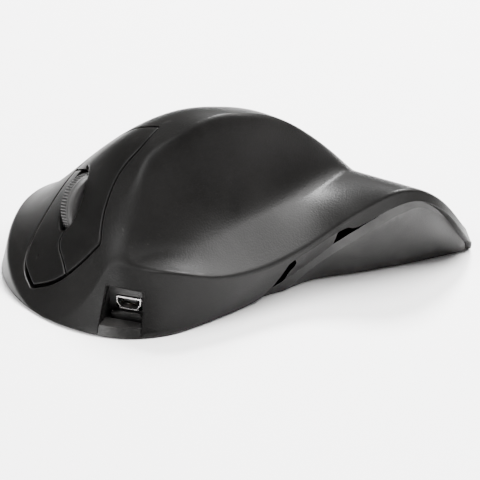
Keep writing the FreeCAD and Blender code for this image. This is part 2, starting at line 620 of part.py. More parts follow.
def make_main_board():
    """The flat board in the base and what is soldered to it."""
    floor = "main_board_top - main_board_thickness"
    plate = box("main_plate", "48", "46", "main_board_thickness", "-6", "2", floor)
    arm = box("main_arm", "10", "34", "main_board_thickness")
    arm.setExpression("Placement", formula(
        "placement(vector(usb_x; usb_y; %s); rotation(usb_yaw; 0; 0)) * "
        "placement(vector(-5; 0.6 + bezel_wall + 0.3; 0); rotation(0; 0; 0))" % floor))
    whole = fuse("main_whole", plate, arm)
    window = column("main_window", "5", "6", "lens_x", "lens_y", floor + " - 2")
    holes = []
    for number, (x, y) in enumerate(carrier_posts()):
        holes.append(column("main_hole_%d" % number, "carrier_post + 1", "6", "%.3f" % x, "%.3f" % y, floor + " - 2"))
    finish("main_board", cut("main_board", whole, window, *holes))

    finish("sensor_chip", box("sensor_chip", "12", "9.8", "2.6", "lens_x", "lens_y", "main_board_top"))
    lens_plate = box("lens_plate", "15", "10", "0.9", "lens_x", "lens_y", floor + " - 0.95")
    dome = column("lens_dome", "lens_opening - 2", floor + " - 0.05 - foot_rise - 0.9", "lens_x", "lens_y", "foot_rise + 0.9")
    finish("sensor_lens", fuse("sensor_lens", lens_plate, dome))
    finish("controller_chip", box("controller_chip", "7", "7", "1", "-14", "-6", "main_board_top"))
    finish("radio_module", box("radio_module", "13", "10", "2", "-20", "14", "main_board_top"))
    finish("battery_plug", box("battery_plug", "8", "4.5", "4", "2", "21", "main_board_top"))
    cans = [column("capacitor_%d" % i, "5", "7", str(x), "9", "main_board_top") for i, x in enumerate((-4, 4))]
    finish("board_capacitors", fuse("board_capacitors", *cans))
    finish("battery", box("battery_cell", "battery_length", "battery_width", "battery_height",
                          "battery_x", "battery_y", "foot_rise + base_wall"))

    body = box("power_block", "9", "4", "main_board_top - main_board_thickness - foot_rise - base_wall - 0.1",
               "slider_x", "slider_y", "foot_rise + base_wall + 0.1")
    groove = box("power_groove", "slider_size + slider_travel + 0.4", "2", "0.9",
                 "slider_x + slider_travel / 2", "slider_y", "foot_rise + base_wall - 0.1")
    finish("power_switch", cut("power_switch", body, groove))
    finish("power_slider", box("power_slider", "slider_size", "1.6", "base_wall + 0.4",
                               "slider_x", "slider_y", "foot_rise + 0.3"))


def make_socket():
    """The mini-B socket: metal shell, tongue and contacts."""
    socket = doc.addObject("PartDesign::Body", "usb_shell")
    half = "usb_width / 2"
    low = "main_board_top"
    high = "main_board_top + usb_height"
    outline = outline_sketch(socket, "usb_outline", "XZ_Plane", socket_outline(half, low, high, "0"))
    pad = socket.newObject("PartDesign::Pad", "usb_pad")
    pad.Profile = outline
    pad.Reversed = True
    pad.setExpression("Length", formula("usb_depth"))
    doc.recompute()
    mouth = outline_sketch(socket, "usb_mouth", "XZ_Plane", socket_outline(half, low, high, "usb_sheet"))
    pocket = socket.newObject("PartDesign::Pocket", "usb_pocket")
    pocket.Profile = mouth
    pocket.Type = 0
    pocket.Reversed = False
    pocket.setExpression("Length", formula("usb_depth - usb_sheet"))
    doc.recompute()
    finish("usb_shell", socket, usb_frame)

    tongue = box("usb_tongue", "usb_width - 3.6", "usb_depth - 2 * usb_sheet - 1.6", "0.9",
                 y="1.6 + (usb_depth - 2 * usb_sheet - 1.6) / 2", z="main_board_top + usb_height / 2")
    finish("usb_tongue", tongue, usb_frame)
    pins = []
    for i in range(5):
        pins.append(box("usb_pin_%d" % i, "0.35", "usb_depth - 4", "0.12", x="%.2f" % (0.8 * (i - 2)),
                        y="2.2 + (usb_depth - 4) / 2", z="main_board_top + usb_height / 2 - 0.12"))
    finish("usb_pins", fuse("usb_pins", *pins), usb_frame)


def socket_outline(half, low, high, wall):
    """Corners of the socket's section: narrower below its slanted sides."""
    return [
        ("-(%s) + 0.9 + %s" % (half, wall), "%s + %s" % (low, wall)),
        ("%s - 0.9 - %s" % (half, wall), "%s + %s" % (low, wall)),
        ("%s - 0.9 - %s" % (half, wall), "%s + 0.9" % low),
        ("%s - %s" % (half, wall), "%s + 1.9" % low),
        ("%s - %s" % (half, wall), "%s - %s" % (high, wall)),
        ("-(%s) + %s" % (half, wall), "%s - %s" % (high, wall)),
        ("-(%s) + %s" % (half, wall), "%s + 1.9" % low),
        ("-(%s) + 0.9 + %s" % (half, wall), "%s + 0.9" % low),
    ]


def make_feet():
    """Four low-friction pads, stuck flat below the lower shell."""
    for node, length, width, x, y in (
        ("front_foot", "24", "6", "-6", "-58"), ("rear_foot", "26", "6", "6", "57"),
        ("thumb_foot", "6", "20", "25", "-8"), ("outer_foot", "6", "24", "-47", "-8"),
    ):
        pad = box(node + "_block", length, width, "foot_rise", x, y)
        doc.recompute()
        rounded = doc.addObject("Part::Fillet", node)
        rounded.Base = pad
        upright = [i + 1 for i, edge in enumerate(pad.Shape.Edges) if abs(edge.tangentAt(edge.FirstParameter).z) > 0.9]
        rounded.Edges = [(number, 2.6, 2.6) for number in upright]
        finish(node, rounded)


screw_places = [(-42, -36), (25, -34), (-35, 36), (40, 44)]


def make_screws():
    """Four screws that pull the two shells together from below."""
    screws = []
    seat = "foot_rise + 2.6"
    for number, (x, y) in enumerate(screw_places):
        head = column("screw_head_%d" % number, "screw_head", "1.6", str(x), str(y), seat + " - 1.6")
        shank = column("screw_shank_%d" % number, "screw_shank", "screw_length + 0.2", str(x), str(y), seat + " - 0.2")
        screws += [head, shank]
    finish("case_screws", fuse("case_screws", *screws))


def carrier_posts():
    """Where the posts under the carrier stand on the base."""
    places = []
    for x, y in ((14, 12), (-13, 3)):
        point = finger_place.multVec(FreeCAD.Vector(x, y, size["board_top"]))
        places.append((point.x, point.y))
    return places


def block(length, width, height, x, y, z):
    """A plain block, centred on x and y, that stands on z."""
    return Part.makeBox(length, width, height, FreeCAD.Vector(x - length / 2, y - width / 2, z))


def pole(diameter, height, x, y, z):
    return Part.makeCylinder(diameter / 2, height, FreeCAD.Vector(x, y, z))


def in_frame(shape, place):
    moved = shape.copy()
    moved.Placement = place
    return moved


def prism(edges, low, high):
    """A prism along Z over closed edges that lie at height 0."""
    wire = Part.Wire(edges)
    face = Part.Face(wire)
    face.translate(FreeCAD.Vector(0, 0, low))
    return face.extrude(FreeCAD.Vector(0, 0, high - low))


def curve_through(points):
    """One smooth edge through points at height 0."""
    curve = Part.BSplineCurve()
    curve.interpolate([FreeCAD.Vector(x, y, 0) for x, y in points])
    return curve.toShape()


def moved_in(points, gap):
    """Points of the leaf's outline, moved towards its middle by a gap."""
    count = len(points)
    shifted = []
    for i, (x, y) in enumerate(points):
        before = points[max(i - 1, 0)]
        after = points[min(i + 1, count - 1)]
        length = math.hypot(after[0] - before[0], after[1] - before[1])
        shifted.append((x + (after[1] - before[1]) / length * gap, y - (after[0] - before[0]) / length * gap))
    return shifted


def crossing(first, second):
    """Where two straight stretches, each given by two points, cross."""
    (ax, ay), (bx, by) = first
    (cx, cy), (dx, dy) = second
    scale = (bx - ax) * (dy - cy) - (by - ay) * (dx - cx)
    along = ((cx - ax) * (dy - cy) - (cy - ay) * (dx - cx)) / scale
    return (ax + along * (bx - ax), ay + along * (by - ay))


def leaf_edges(gap, front):
    """The outline of the button group, moved inwards by a gap."""
    thumb = moved_in(thumb_edge, gap)
    lower = moved_in(front_edge, front)
    outer = moved_in(outer_edge, gap)
    corner = crossing(thumb[-2:], lower[:2])
    toe = crossing(lower[-2:], outer[:2])
    tip = crossing(outer[-2:], thumb[:2])
    thumb = [tip] + thumb[1:-1] + [corner]
    lower = [corner] + lower[1:-1] + [toe]
    outer = [toe] + outer[1:-1] + [tip]
    return [curve_through(thumb), curve_through(lower), curve_through(outer)]


def wheel_slot():
    """The oval slot for the wheel, wider towards the middle finger."""
    middle = FreeCAD.Vector(0, size["slot_y"], 0)
    rear = middle + FreeCAD.Vector(0, size["slot_length"] / 2, 0)
    edges = []
    for half_width, turn in ((size["slot_middle"], 0.0), (size["slot_index"], math.pi)):
        oval = Part.Ellipse(rear, middle - FreeCAD.Vector(half_width, 0, 0), middle)
        edges.append(Part.ArcOfEllipse(oval, turn, turn + math.pi).toShape())
    return prism(edges, -30, 60)


def index_side(gap):
    """The side of the index finger: past the split line, and all behind the slot."""
    line = [(x + gap * 0.8, y + gap * 0.6) for x, y in split_line]
    rear = size["rear_split"] + gap
    around = [line[-1], (60, line[-1][1]), (60, 60), (-60, 60), (-60, rear), (line[0][0], rear), line[0]]
    corners = [FreeCAD.Vector(x, y, 0) for x, y in around]
    edges = [Part.makeLine(corners[i], corners[i + 1]) for i in range(len(corners) - 1)]
    return prism([curve_through(line)] + edges, -30, 60)


def make_shells():
    """The two shells and the two buttons, cut from one hand form."""
    below_top = space_below(top_height)
    below_inner = space_below(lambda x, y: top_height(x, y, size["top_wall"]))
    below_buttons = space_below(lambda x, y: top_height(x, y, size["button_wall"]))
    below_arch = space_below(underside_height)
    below_base = space_below(base_inner_height)
    wall = wall_solid(0.0)
    inside = wall_solid(size["top_wall"])
    seam = wall_solid(size["top_wall"] + size["seam_gap"])
    above_table = block(300, 300, 100, 0, 0, size["foot_rise"])
    form = wall.common(below_top).common(above_table).cut(below_arch)

    gap = size["button_gap"]
    opening = in_frame(prism(leaf_edges(0.0, 0.0), 0, 40), finger_place)
    notch = in_frame(block(size["notch_width"], size["notch_depth"] + 0.4, size["notch_top"] + 2, 0,
                           0.2 - size["notch_depth"] / 2, -2), usb_place)
    upper = form.cut(inside.common(below_inner)).cut(opening).cut(notch)
    floor = size["foot_rise"] + size["base_wall"]
    seat = size["foot_rise"] + 2.6
    tip = seat + size["screw_length"] + 0.3
    below_roof = below_inner.copy()
    below_roof.translate(FreeCAD.Vector(0, 0, 0.8))
    for x, y in screw_places:
        boss = pole(size["post_diameter"], 60, x, y, size["post_top"] + size["seam_gap"]).common(below_roof)
        upper = upper.fuse(boss).cut(pole(size["screw_shank"] + 0.1, tip - 2, x, y, 2))
    feature("top_shell", upper)

    lower = seam.common(below_base).common(above_table).cut(below_arch)
    tongue = block(size["notch_width"] - 2 * size["touch_gap"], size["notch_depth"] - 3,
                   size["notch_sill"] - size["touch_gap"] - size["foot_rise"], 0,
                   -3 - (size["notch_depth"] - 3) / 2, size["foot_rise"])
    lower = lower.fuse(in_frame(tongue, usb_place).common(form))
    room = size["notch_width"] + 2 * size["bezel_wall"]
    bezel = block(room, size["bezel_wall"], size["notch_top"] - floor + 0.6, 0,
                  0.6 + size["bezel_wall"] / 2, floor - 0.6)
    sill = block(9.6, 3.0, size["main_board_top"] - floor, 0, -0.6, floor - 0.6)
    for side in (-1, 1):
        cheek = block(size["bezel_wall"], 6.6, size["notch_top"] - floor + 0.6,
                      side * (room - size["bezel_wall"]) / 2, 0.6 + size["bezel_wall"] - 3.3, floor - 0.6)
        bezel = bezel.fuse(cheek)
    hole = block(size["usb_width"] + 0.4, 8, size["usb_height"] + 0.4, 0, 1, size["main_board_top"] - 0.1)
    bezel = in_frame(bezel.fuse(sill).cut(hole), usb_place)
    lower = lower.fuse(bezel.common(seam).common(below_inner_clear(below_inner)))
    for x, y in screw_places:
        post = pole(size["post_diameter"], size["post_top"] - floor + 0.6, x, y, floor - 0.6)
        lower = lower.fuse(post)
        lower = lower.cut(pole(size["screw_head"] + 0.4, 2.6 + 2, x, y, seat - 4.6))
        lower = lower.cut(pole(size["screw_shank"] + 0.4, 10, x, y, 2))
    under_carrier = in_frame(block(200, 200, 80, 0, 0, carrier_floor() - 80), finger_place)
    for x, y in carrier_posts():
        lower = lower.fuse(pole(size["carrier_post"], 60, x, y, floor - 0.6).common(under_carrier))
    for x, y in ((-28, -14), (14, -14), (-28, 22), (14, 22)):
        stand = size["main_board_top"] - size["main_board_thickness"] - floor
        lower = lower.fuse(pole(4, stand + 0.6, x, y, floor - 0.6))
    lower = lower.cut(pole(size["lens_opening"], 4, size["lens_x"], size["lens_y"], -1))
    slot = size["slider_size"] + size["slider_travel"] + 0.4
    lower = lower.cut(block(slot, 2.0, 4, size["slider_x"] + size["slider_travel"] / 2, size["slider_y"], -1))
    feature("bottom_shell", lower)
    make_buttons(below_top, below_buttons, gap)


def carrier_floor():
    """Underside of the carrier in the finger frame."""
    return size["board_top"] - size["board_thickness"] - size["carrier_thickness"]


def below_inner_clear(below_inner):
    """The space inside the upper shell, with a clearance below its wall."""
    clear = below_inner.copy()
    clear.translate(FreeCAD.Vector(0, 0, -0.4))
    return clear


def make_buttons(below_top, below_buttons, gap):
    """The two buttons, with the stems on the switches and the pivot barrels."""
    leaf = in_frame(prism(leaf_edges(gap, size["front_gap"]), -6, 40), finger_place)
    slot = in_frame(wheel_slot(), finger_place)
    clear_of_base = block(300, 300, 100, 0, 0, size["foot_rise"] + size["base_wall"] + 1.2)
    skin = below_top.common(leaf).cut(below_buttons).common(clear_of_base).cut(slot)
    embed = below_buttons.copy()
    embed.translate(FreeCAD.Vector(0, 0, 1.0))
    half = size["split_gap"] / 2
    index_skin = skin.common(in_frame(index_side(half), finger_place))
    middle_skin = skin.cut(in_frame(index_side(-half), finger_place))
    index_row = ("left_button", index_skin, size["index_switch_x"], size["index_pivot_y"], 7.2, 16.4, 7.2)
    middle_row = ("right_button", middle_skin, size["middle_switch_x"], size["middle_pivot_y"], -11.8, -7.6, -9.8)
    stem_low = size["board_top"] + size["switch_height"] + size["plunger_rise"] + size["touch_gap"]
    for node, piece, switch_x, pivot_y, barrel_from, barrel_to, rib_from in (index_row, middle_row):
        stem = block(2.4, 3.2, 20, switch_x, size["switch_y"] - 2.5, stem_low)
        rib = block(barrel_to - rib_from, 2.4, 20, (rib_from + barrel_to) / 2, pivot_y, size["pivot_z"])
        along = FreeCAD.Vector(1, 0, 0)
        start = FreeCAD.Vector(barrel_from, pivot_y, size["pivot_z"])
        width = barrel_to - barrel_from
        barrel = Part.makeCylinder(size["barrel_diameter"] / 2, width, start, along)
        bore = Part.makeCylinder(size["pivot_diameter"] / 2 + size["running_gap"], width + 2, start - along, along)
        risers = in_frame(stem.fuse(rib), finger_place).common(leaf)
        inner = risers.fuse(in_frame(barrel, finger_place)).common(embed)
        feature(node, piece.fuse(inner).cut(in_frame(bore, finger_place)).removeSplitter())


def check_and_write():
    """Stop on any failed object, then write each sub-part."""
    doc.recompute()
    for item in doc.Objects:
        failed = [state for state in item.State if state in ("Invalid", "Error")]
        if failed:
            raise RuntimeError("%s is %s" % (item.Name, failed))
    os.makedirs("parts", exist_ok=True)
    for node, item in parts.items():
        shape = item.Shape
        if shape.isNull() or not shape.isValid() or not shape.Solids:
            raise RuntimeError("%s has no sound shape" % node)
        shape.exportStep("parts/%s.step" % node)
        corners = shape.optimalBoundingBox(False)
        print("%-18s solids %d volume %9.1f  x %6.1f %6.1f  y %6.1f %6.1f  z %6.1f %6.1f" % (
            node, len(shape.Solids), shape.Volume, corners.XMin, corners.XMax,
            corners.YMin, corners.YMax, corners.ZMin, corners.ZMax))


make_wheel()
outside = make_cradle()
make_finger_board(outside)
make_switches()
make_main_board()
make_socket()
make_feet()
make_screws()
make_shells()
check_and_write()
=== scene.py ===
import json
import math
import bpy
import numpy as np
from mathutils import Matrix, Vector


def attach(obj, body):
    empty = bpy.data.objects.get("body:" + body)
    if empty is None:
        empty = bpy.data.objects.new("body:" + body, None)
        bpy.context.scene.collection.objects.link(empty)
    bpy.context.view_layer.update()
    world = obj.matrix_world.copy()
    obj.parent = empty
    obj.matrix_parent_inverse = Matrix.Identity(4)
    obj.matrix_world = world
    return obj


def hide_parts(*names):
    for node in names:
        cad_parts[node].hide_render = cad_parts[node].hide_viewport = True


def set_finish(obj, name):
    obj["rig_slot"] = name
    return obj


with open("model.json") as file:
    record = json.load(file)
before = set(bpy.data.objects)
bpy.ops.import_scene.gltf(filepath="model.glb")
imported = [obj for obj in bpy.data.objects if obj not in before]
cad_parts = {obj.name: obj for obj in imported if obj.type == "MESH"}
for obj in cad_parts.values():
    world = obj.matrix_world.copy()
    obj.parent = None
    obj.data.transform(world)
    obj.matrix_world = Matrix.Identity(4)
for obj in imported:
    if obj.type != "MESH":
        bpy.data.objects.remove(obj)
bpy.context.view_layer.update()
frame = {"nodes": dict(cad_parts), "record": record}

# A right-handed ergonomic mouse. Shapes are worked out in millimetres and
# become metres when their mesh is made. The front points along -Y, the thumb
# lies on the +X side and the table is at z = 0.

toMetres = 0.001


def smoothLine(points):
    # natural cubic through pairs of place and value, straight beyond its ends
    place, value = np.array(points, float).T
    gap = np.diff(place)
    slope = np.diff(value) / gap
    inner = np.arange(1, len(place) - 1)
    system = np.eye(len(place))
    system[inner, inner - 1] = gap[:-1]
    system[inner, inner] = 2 * (gap[:-1] + gap[1:])
    system[inner, inner + 1] = gap[1:]
    target = np.zeros(len(place))
    target[inner] = 6 * np.diff(slope)
    bend = np.linalg.solve(system, target)
    startSlope = slope[0] - gap[0] * bend[1] / 6
    endSlope = slope[-1] + gap[-1] * bend[-2] / 6

    def at(where):
        held = np.clip(where, place[0], place[-1])
        i = np.clip(np.searchsorted(place, held, side="right") - 1, 0, len(gap) - 1)
        before = (place[i + 1] - held) / gap[i]
        after = 1 - before
        curve = before * value[i] + after * value[i + 1]
        bulge = (before ** 3 - before) * bend[i] + (after ** 3 - after) * bend[i + 1]
        curve = curve + bulge * gap[i] ** 2 / 6
        short = np.minimum(where - place[0], 0)
        over = np.maximum(where - place[-1], 0)
        return curve + startSlope * short + endSlope * over
    return at


def closedLine(points, spacing):
    # periodic cubic through rows of numbers, at the given parameters
    rows = np.array(points, float)
    count = len(rows)
    gap = np.diff(spacing)
    slope = (np.roll(rows, -1, 0) - rows) / gap[:, None]
    i = np.arange(count)
    system = np.zeros((count, count))
    system[i, i - 1] = np.roll(gap, 1)
    system[i, i] = 2 * (np.roll(gap, 1) + gap)
    system[i, (i + 1) % count] = gap
    bend = np.linalg.solve(system, 6 * (slope - np.roll(slope, 1, 0)))

    def at(where):
        wrapped = np.mod(where, spacing[-1])
        k = np.clip(np.searchsorted(spacing, wrapped, side="right") - 1, 0, count - 1)
        n = (k + 1) % count
        before = ((spacing[k + 1] - wrapped) / gap[k])[..., None]
        after = 1 - before
        width = gap[k][..., None] ** 2 / 6
        line = before * rows[k] + after * rows[n]
        return line + ((before ** 3 - before) * bend[k] + (after ** 3 - after) * bend[n]) * width
    return at


def smoothLower(first, second, blend):
    # the lower of two heights, rounded where they meet
    mix = np.clip(0.5 + 0.5 * (second - first) / blend, 0, 1)
    return second * (1 - mix) + first * mix - blend * mix * (1 - mix)


handForm = {
    "spineX": [(-75, 0), (-50, 3), (-40, 6), (-30, 10), (-20, 15), (0, 18), (25, 15), (50, 8), (75, 5)],
    "spineHeight": [(-71, 0.5), (-60, 14), (-50, 29), (-41, 43.5), (-31, 52), (-20, 56.3), (-10, 55),
                    (0, 51.5), (12, 43.4), (24, 32.6), (36, 21.5), (48, 13.5), (60, 7), (70, 4)],
    "fallWidth": [(-75, 36), (-60, 40), (-45, 44), (-30, 49), (-10, 52), (10, 52), (40, 50), (75, 48)],
    "flareHeight": [(-75, 1), (-60, 5.5), (-40, 8.6), (-20, 8.8), (20, 8.5), (50, 6), (75, 3)],
    "scoopX": [(-60, 13), (-50, 18), (-42, 22), (-34, 25), (-23, 27.5), (-2, 32.2), (16, 35.5), (32, 38),
               (46, 40), (60, 40)],
    "scoopHeight": [(-60, 18.3), (-50, 20.5), (-40, 22.4), (-30, 24.3), (-15, 26.2), (0, 27.8), (14, 30.5),
                    (22, 31), (28, 28.8), (36, 23.5), (44, 17), (52, 11), (60, 7), (68, 4)],
    "scoopSlope": [(-60, 0.7), (-50, 1.0), (-44, 1.8), (-38, 2.0), (-31, 2.7), (-25, 3.5), (-15, 4.5),
                   (0, 4.5), (20, 3.5), (40, 2), (60, 1)],
    "scoopFoot": [(-60, 5.5), (-15, 5.6), (0, 7.2), (15, 9.6), (30, 14.4), (45, 21), (60, 24)],
    "scoopBend": [(-60, 3), (-45, 5), (-38, 10), (-25, 18), (-10, 24), (10, 24), (25, 14), (40, 8), (60, 6)],
    "floorSlope": [(-60, 0), (-51, 0.05), (-44, 0.3), (-37.5, 0.57), (-31, 0.74), (-24.8, 0.84), (-14.6, 0.84),
                   (-7.3, 0.7), (-1.3, 0.48), (4.5, 0.22), (10.4, 0.02), (16, -0.09), (21.5, -0.09),
                   (27.4, -0.05), (33.7, 0), (40.7, 0.1), (48.5, 0.16), (60, 0.05)],
    "archX": [(-40, 30.3), (-24, 30.8), (-13, 31.3), (-4.5, 31.6), (4.7, 33.3), (11.3, 36.6), (17.2, 39.7),
              (23.4, 42.4), (29.7, 45.3), (36.2, 47.9), (43.2, 50.4), (50.6, 53), (62, 57.5)],
    "fallPower": 2.5,
    "scoopLift": 5.0,
    "crestBlend": 5.0,
    "archSlope": 1.9,
    "archBlend": 2.0,
    "wingDepth": 3.8,
    "footRise": 0.6,
    "wall": 2.0,
}
formLine = {name: smoothLine(points) for name, points in handForm.items() if isinstance(points, list)}


def humpHeight(x, y):
    # the palm rest: a ridge along the spine that falls away like exp(-d^2.5)
    ridge = formLine["spineHeight"](y)
    aside = formLine["spineX"](y) - x
    flare = formLine["flareHeight"](y)
    fall = np.exp(-(np.abs(aside) / formLine["fallWidth"](y)) ** handForm["fallPower"])
    lifted = ridge + handForm["scoopLift"] * (aside / 40) ** 2
    return np.where(aside > 0, flare + (ridge - flare) * fall, lifted)


def scoopHeight(x, y):
    # the thumb scoop: the higher of the sloping floor and the hump's steep side, rounded where they meet
    aside = formLine["scoopX"](y) - x
    floor = formLine["scoopHeight"](y)
    side = floor + formLine["scoopSlope"](y) * (aside - formLine["scoopFoot"](y))
    return -smoothLower(-floor - formLine["floorSlope"](y) * aside, -side, formLine["scoopBend"](y))


def topHeight(x, y):
    # the lower of the palm rest and the scoop, rounded along the crest between them
    return smoothLower(humpHeight(x, y), scoopHeight(x, y), handForm["crestBlend"])


def underHeight(x, y):
    # the space under the wing: below its skin and below a slanted wall, whichever is lower
    arch = handForm["archSlope"] * (x - formLine["archX"](y))
    return smoothLower(topHeight(x, y) - handForm["wingDepth"], arch, handForm["archBlend"])


# The side wall: x, y and height of its lower edge, how far it leans in, and how much it rises.
wallPoints = [
    (-59.3, -13, 0, 1.2, 8), (-55.8, -38.3, 0, 1.2, 8), (-45.8, -55.6, 0, 2, 8),
    (-28.6, -67, 0, 1.5, 8), (-8, -71.2, 0, 3.5, 10), (8, -69, 0, 14, 22), (20, -62.5, 0, 10.5, 19),
    (27.6, -51, 0, 2, 18.5), (30, -37, 0, -4.5, 16.6), (31.2, -24, 0.8, -7, 15.1), (32.8, -13, 2.6, -7.5, 14.5),
    (35.5, -4.5, 6.4, -7, 12.9), (39.3, 2, 12, -5.5, 10), (44, 7, 18.1, -3.5, 7.6), (49, 11.5, 23.1, -1.5, 6.6),
    (53.5, 16, 26.9, 0, 5.5), (57, 21, 28.3, 1, 4.6), (59.5, 27, 26.1, 1.5, 4.3), (60.8, 33.5, 20.6, 1.8, 4.7),
    (60.8, 41, 11.9, 1.8, 5.8), (58, 49.5, 5, 2, 5.5), (51, 57.5, 2, 3, 5.8),
    (36, 64.5, 0.8, 4, 5), (12, 69.5, 0.3, 4, 5), (-10, 71, 0, 4, 5), (-29, 66, 0, 4, 5),
    (-43, 46, 0, 3, 6), (-53, 18, 0, 3, 8),
]


def makeWall():
    # the wall at s round the outline and t up its slope; below its edge it is upright
    rows = np.array(wallPoints, float)
    ahead = np.roll(rows, -1, 0)
    along = ahead[:, :2] - np.roll(rows, 1, 0)[:, :2]
    along /= np.linalg.norm(along, axis=1)[:, None]
    inwards = np.stack([-along[:, 1], along[:, 0]], 1)
    step = np.sqrt(np.linalg.norm(ahead[:, :2] - rows[:, :2], axis=1))
    spacing = np.concatenate([[0], np.cumsum(step)])
    lean = inwards * rows[:, 3:4]
    line = closedLine(np.hstack([rows[:, :3], lean, rows[:, 4:5]]), spacing)

    def at(s, t):
        value = line(s)
        up = np.maximum(t, 0)[..., None]
        plan = value[..., :2] + value[..., 3:5] * up
        height = value[..., 2] + value[..., 5] * t
        return np.concatenate([plan, height[..., None]], -1)
    return at, spacing


wallAt, wallSpacing = makeWall()


def solveUp(function, low, high, rounds=40):
    # bisection on whole arrays, where the function rises from below zero to above it
    for _ in range(rounds):
        middle = (low + high) / 2
        under = function(middle) < 0
        low = np.where(under, middle, low)
        high = np.where(under, high, middle)
    return (low + high) / 2


def edgePart(s):
    # part of the wall's rise where it meets the upper surface
    def over(t):
        point = wallAt(s, t)
        return point[..., 2] - topHeight(point[..., 0], point[..., 1])
    return solveUp(over, np.full(np.shape(s), -0.5), np.full(np.shape(s), 3.0))


def lowPart(s, level):
    # part of the rise at a level, or where the space under the thumb wing begins
    def over(t):
        point = wallAt(s, t)
        return point[..., 2] - np.maximum(level, underHeight(point[..., 0], point[..., 1]))
    return solveUp(over, np.full(np.shape(s), -1.5), edgePart(s))


# The finger frame: its origin is the middle of the scroll wheel, x runs along
# the axle towards the thumb, -y down the slope and z out of the buttons.
fingerFrame = {"origin": (-16.63, -41.76, 23.41), "yaw": -6.0, "tilt": -15.0, "pitch": 52.0}


def turnMatrix(yaw, tilt, pitch):
    # turns about x, then y, then z, in degrees
    a, b, c = np.radians([yaw, tilt, pitch])
    aboutZ = np.array([[np.cos(a), -np.sin(a), 0], [np.sin(a), np.cos(a), 0], [0, 0, 1]])
    aboutY = np.array([[np.cos(b), 0, np.sin(b)], [0, 1, 0], [-np.sin(b), 0, np.cos(b)]])
    aboutX = np.array([[1, 0, 0], [0, np.cos(c), -np.sin(c)], [0, np.sin(c), np.cos(c)]])
    return aboutZ @ aboutY @ aboutX


fingerTurn = turnMatrix(fingerFrame["yaw"], fingerFrame["tilt"], fingerFrame["pitch"])
fingerOrigin = np.array(fingerFrame["origin"])


def fromFinger(points):
    # turned by the finger frame, plus its origin
    return fingerOrigin + points @ fingerTurn.T


def liftToForm(plan):
    # raises points of the finger frame's plane along its z until they lie on the form
    start = np.concatenate([plan, np.zeros(plan.shape[:-1] + (1,))], -1)

    def outside(height):
        point = fromFinger(start + height[..., None] * np.array([0, 0, 1.0]))
        return point[..., 2] - topHeight(point[..., 0], point[..., 1])
    height = solveUp(outside, np.full(plan.shape[:-1], -25.0), np.full(plan.shape[:-1], 25.0))
    return np.concatenate([plan, height[..., None]], -1)


def curveThrough(points, count):
    # an open natural cubic through points, by chord length, as evenly spaced points
    rows = np.array(points, float)
    chord = np.concatenate([[0], np.cumsum(np.linalg.norm(np.diff(rows, axis=0), axis=1))])
    fine = np.linspace(0, chord[-1], 400)
    lineX = smoothLine(list(zip(chord, rows[:, 0])))
    lineY = smoothLine(list(zip(chord, rows[:, 1])))
    return evenly(np.stack([lineX(fine), lineY(fine)], 1), count)


def evenly(points, count, closed=False):
    # the same polyline with evenly spaced points
    rows = np.vstack([points, points[:1]]) if closed else points
    run = np.concatenate([[0], np.cumsum(np.linalg.norm(np.diff(rows, axis=0), axis=1))])
    want = np.linspace(0, run[-1], count, endpoint=not closed)
    return np.stack([np.interp(want, run, rows[:, k]) for k in range(rows.shape[1])], 1)


def softened(points, reach, closed):
    # rounds a polyline's corners with a bell-shaped average over reach points
    offsets = np.arange(-3 * reach, 3 * reach + 1)
    weights = np.exp(-0.5 * (offsets / reach) ** 2)
    weights /= weights.sum()
    index = np.arange(len(points))[:, None] + offsets
    index = np.mod(index, len(points)) if closed else np.clip(index, 0, len(points) - 1)
    return np.einsum("ijk,j->ik", points[index], weights)


buttonLeaf = {
    "thumbEdge": [(23.3, 26.8), (22.3, 18.2), (18.9, 11.3), (16.5, 2.6), (16.3, -4.5), (17.9, -11.8)],
    "frontEdge": [(17.9, -11.8), (12.1, -19.8), (5.3, -26.6), (-2.9, -30)],
    "outerEdge": [(-2.9, -30), (-9.1, -25), (-12.5, -17), (-12.3, -4), (-7.3, 11), (4.7, 22.8), (23.3, 26.8)],
    "split": [(1.3, -10), (0.8, -14.3), (4.3, -18.6), (9.1, -24.2), (12.1, -28)],
    "sideGap": 0.45,
    "frontGap": 1.3,
    "splitGap": 0.5,
    "rearSplit": 9.4,
    "slotLength": 21.2,
    "slotY": 0.0,
    "slotIndex": 4.5,
    "slotMiddle": 4.8,
    "wall": 1.8,
    "edgeRound": 0.55,
}


def leafLoop(gap, frontGap, count):
    # the buttons' outline in the finger frame, moved inwards, corners rounded
    thumb = curveThrough(buttonLeaf["thumbEdge"], 200)
    front = curveThrough(buttonLeaf["frontEdge"], 160)
    outer = curveThrough(buttonLeaf["outerEdge"], 320)
    loop = evenly(np.vstack([thumb[:-1], front[:-1], outer[:-1]]), 1500, closed=True)
    ahead = np.roll(loop, -1, 0) - np.roll(loop, 1, 0)
    ahead /= np.linalg.norm(ahead, axis=1)[:, None]
    inwards = np.stack([ahead[:, 1], -ahead[:, 0]], 1)
    facesFront = np.clip((inwards[:, 1] - 0.45) / 0.3, 0, 1)
    moved = loop + inwards * (gap + (frontGap - gap) * facesFront)[:, None]
    return evenly(softened(moved, 7, closed=True), count, closed=True)


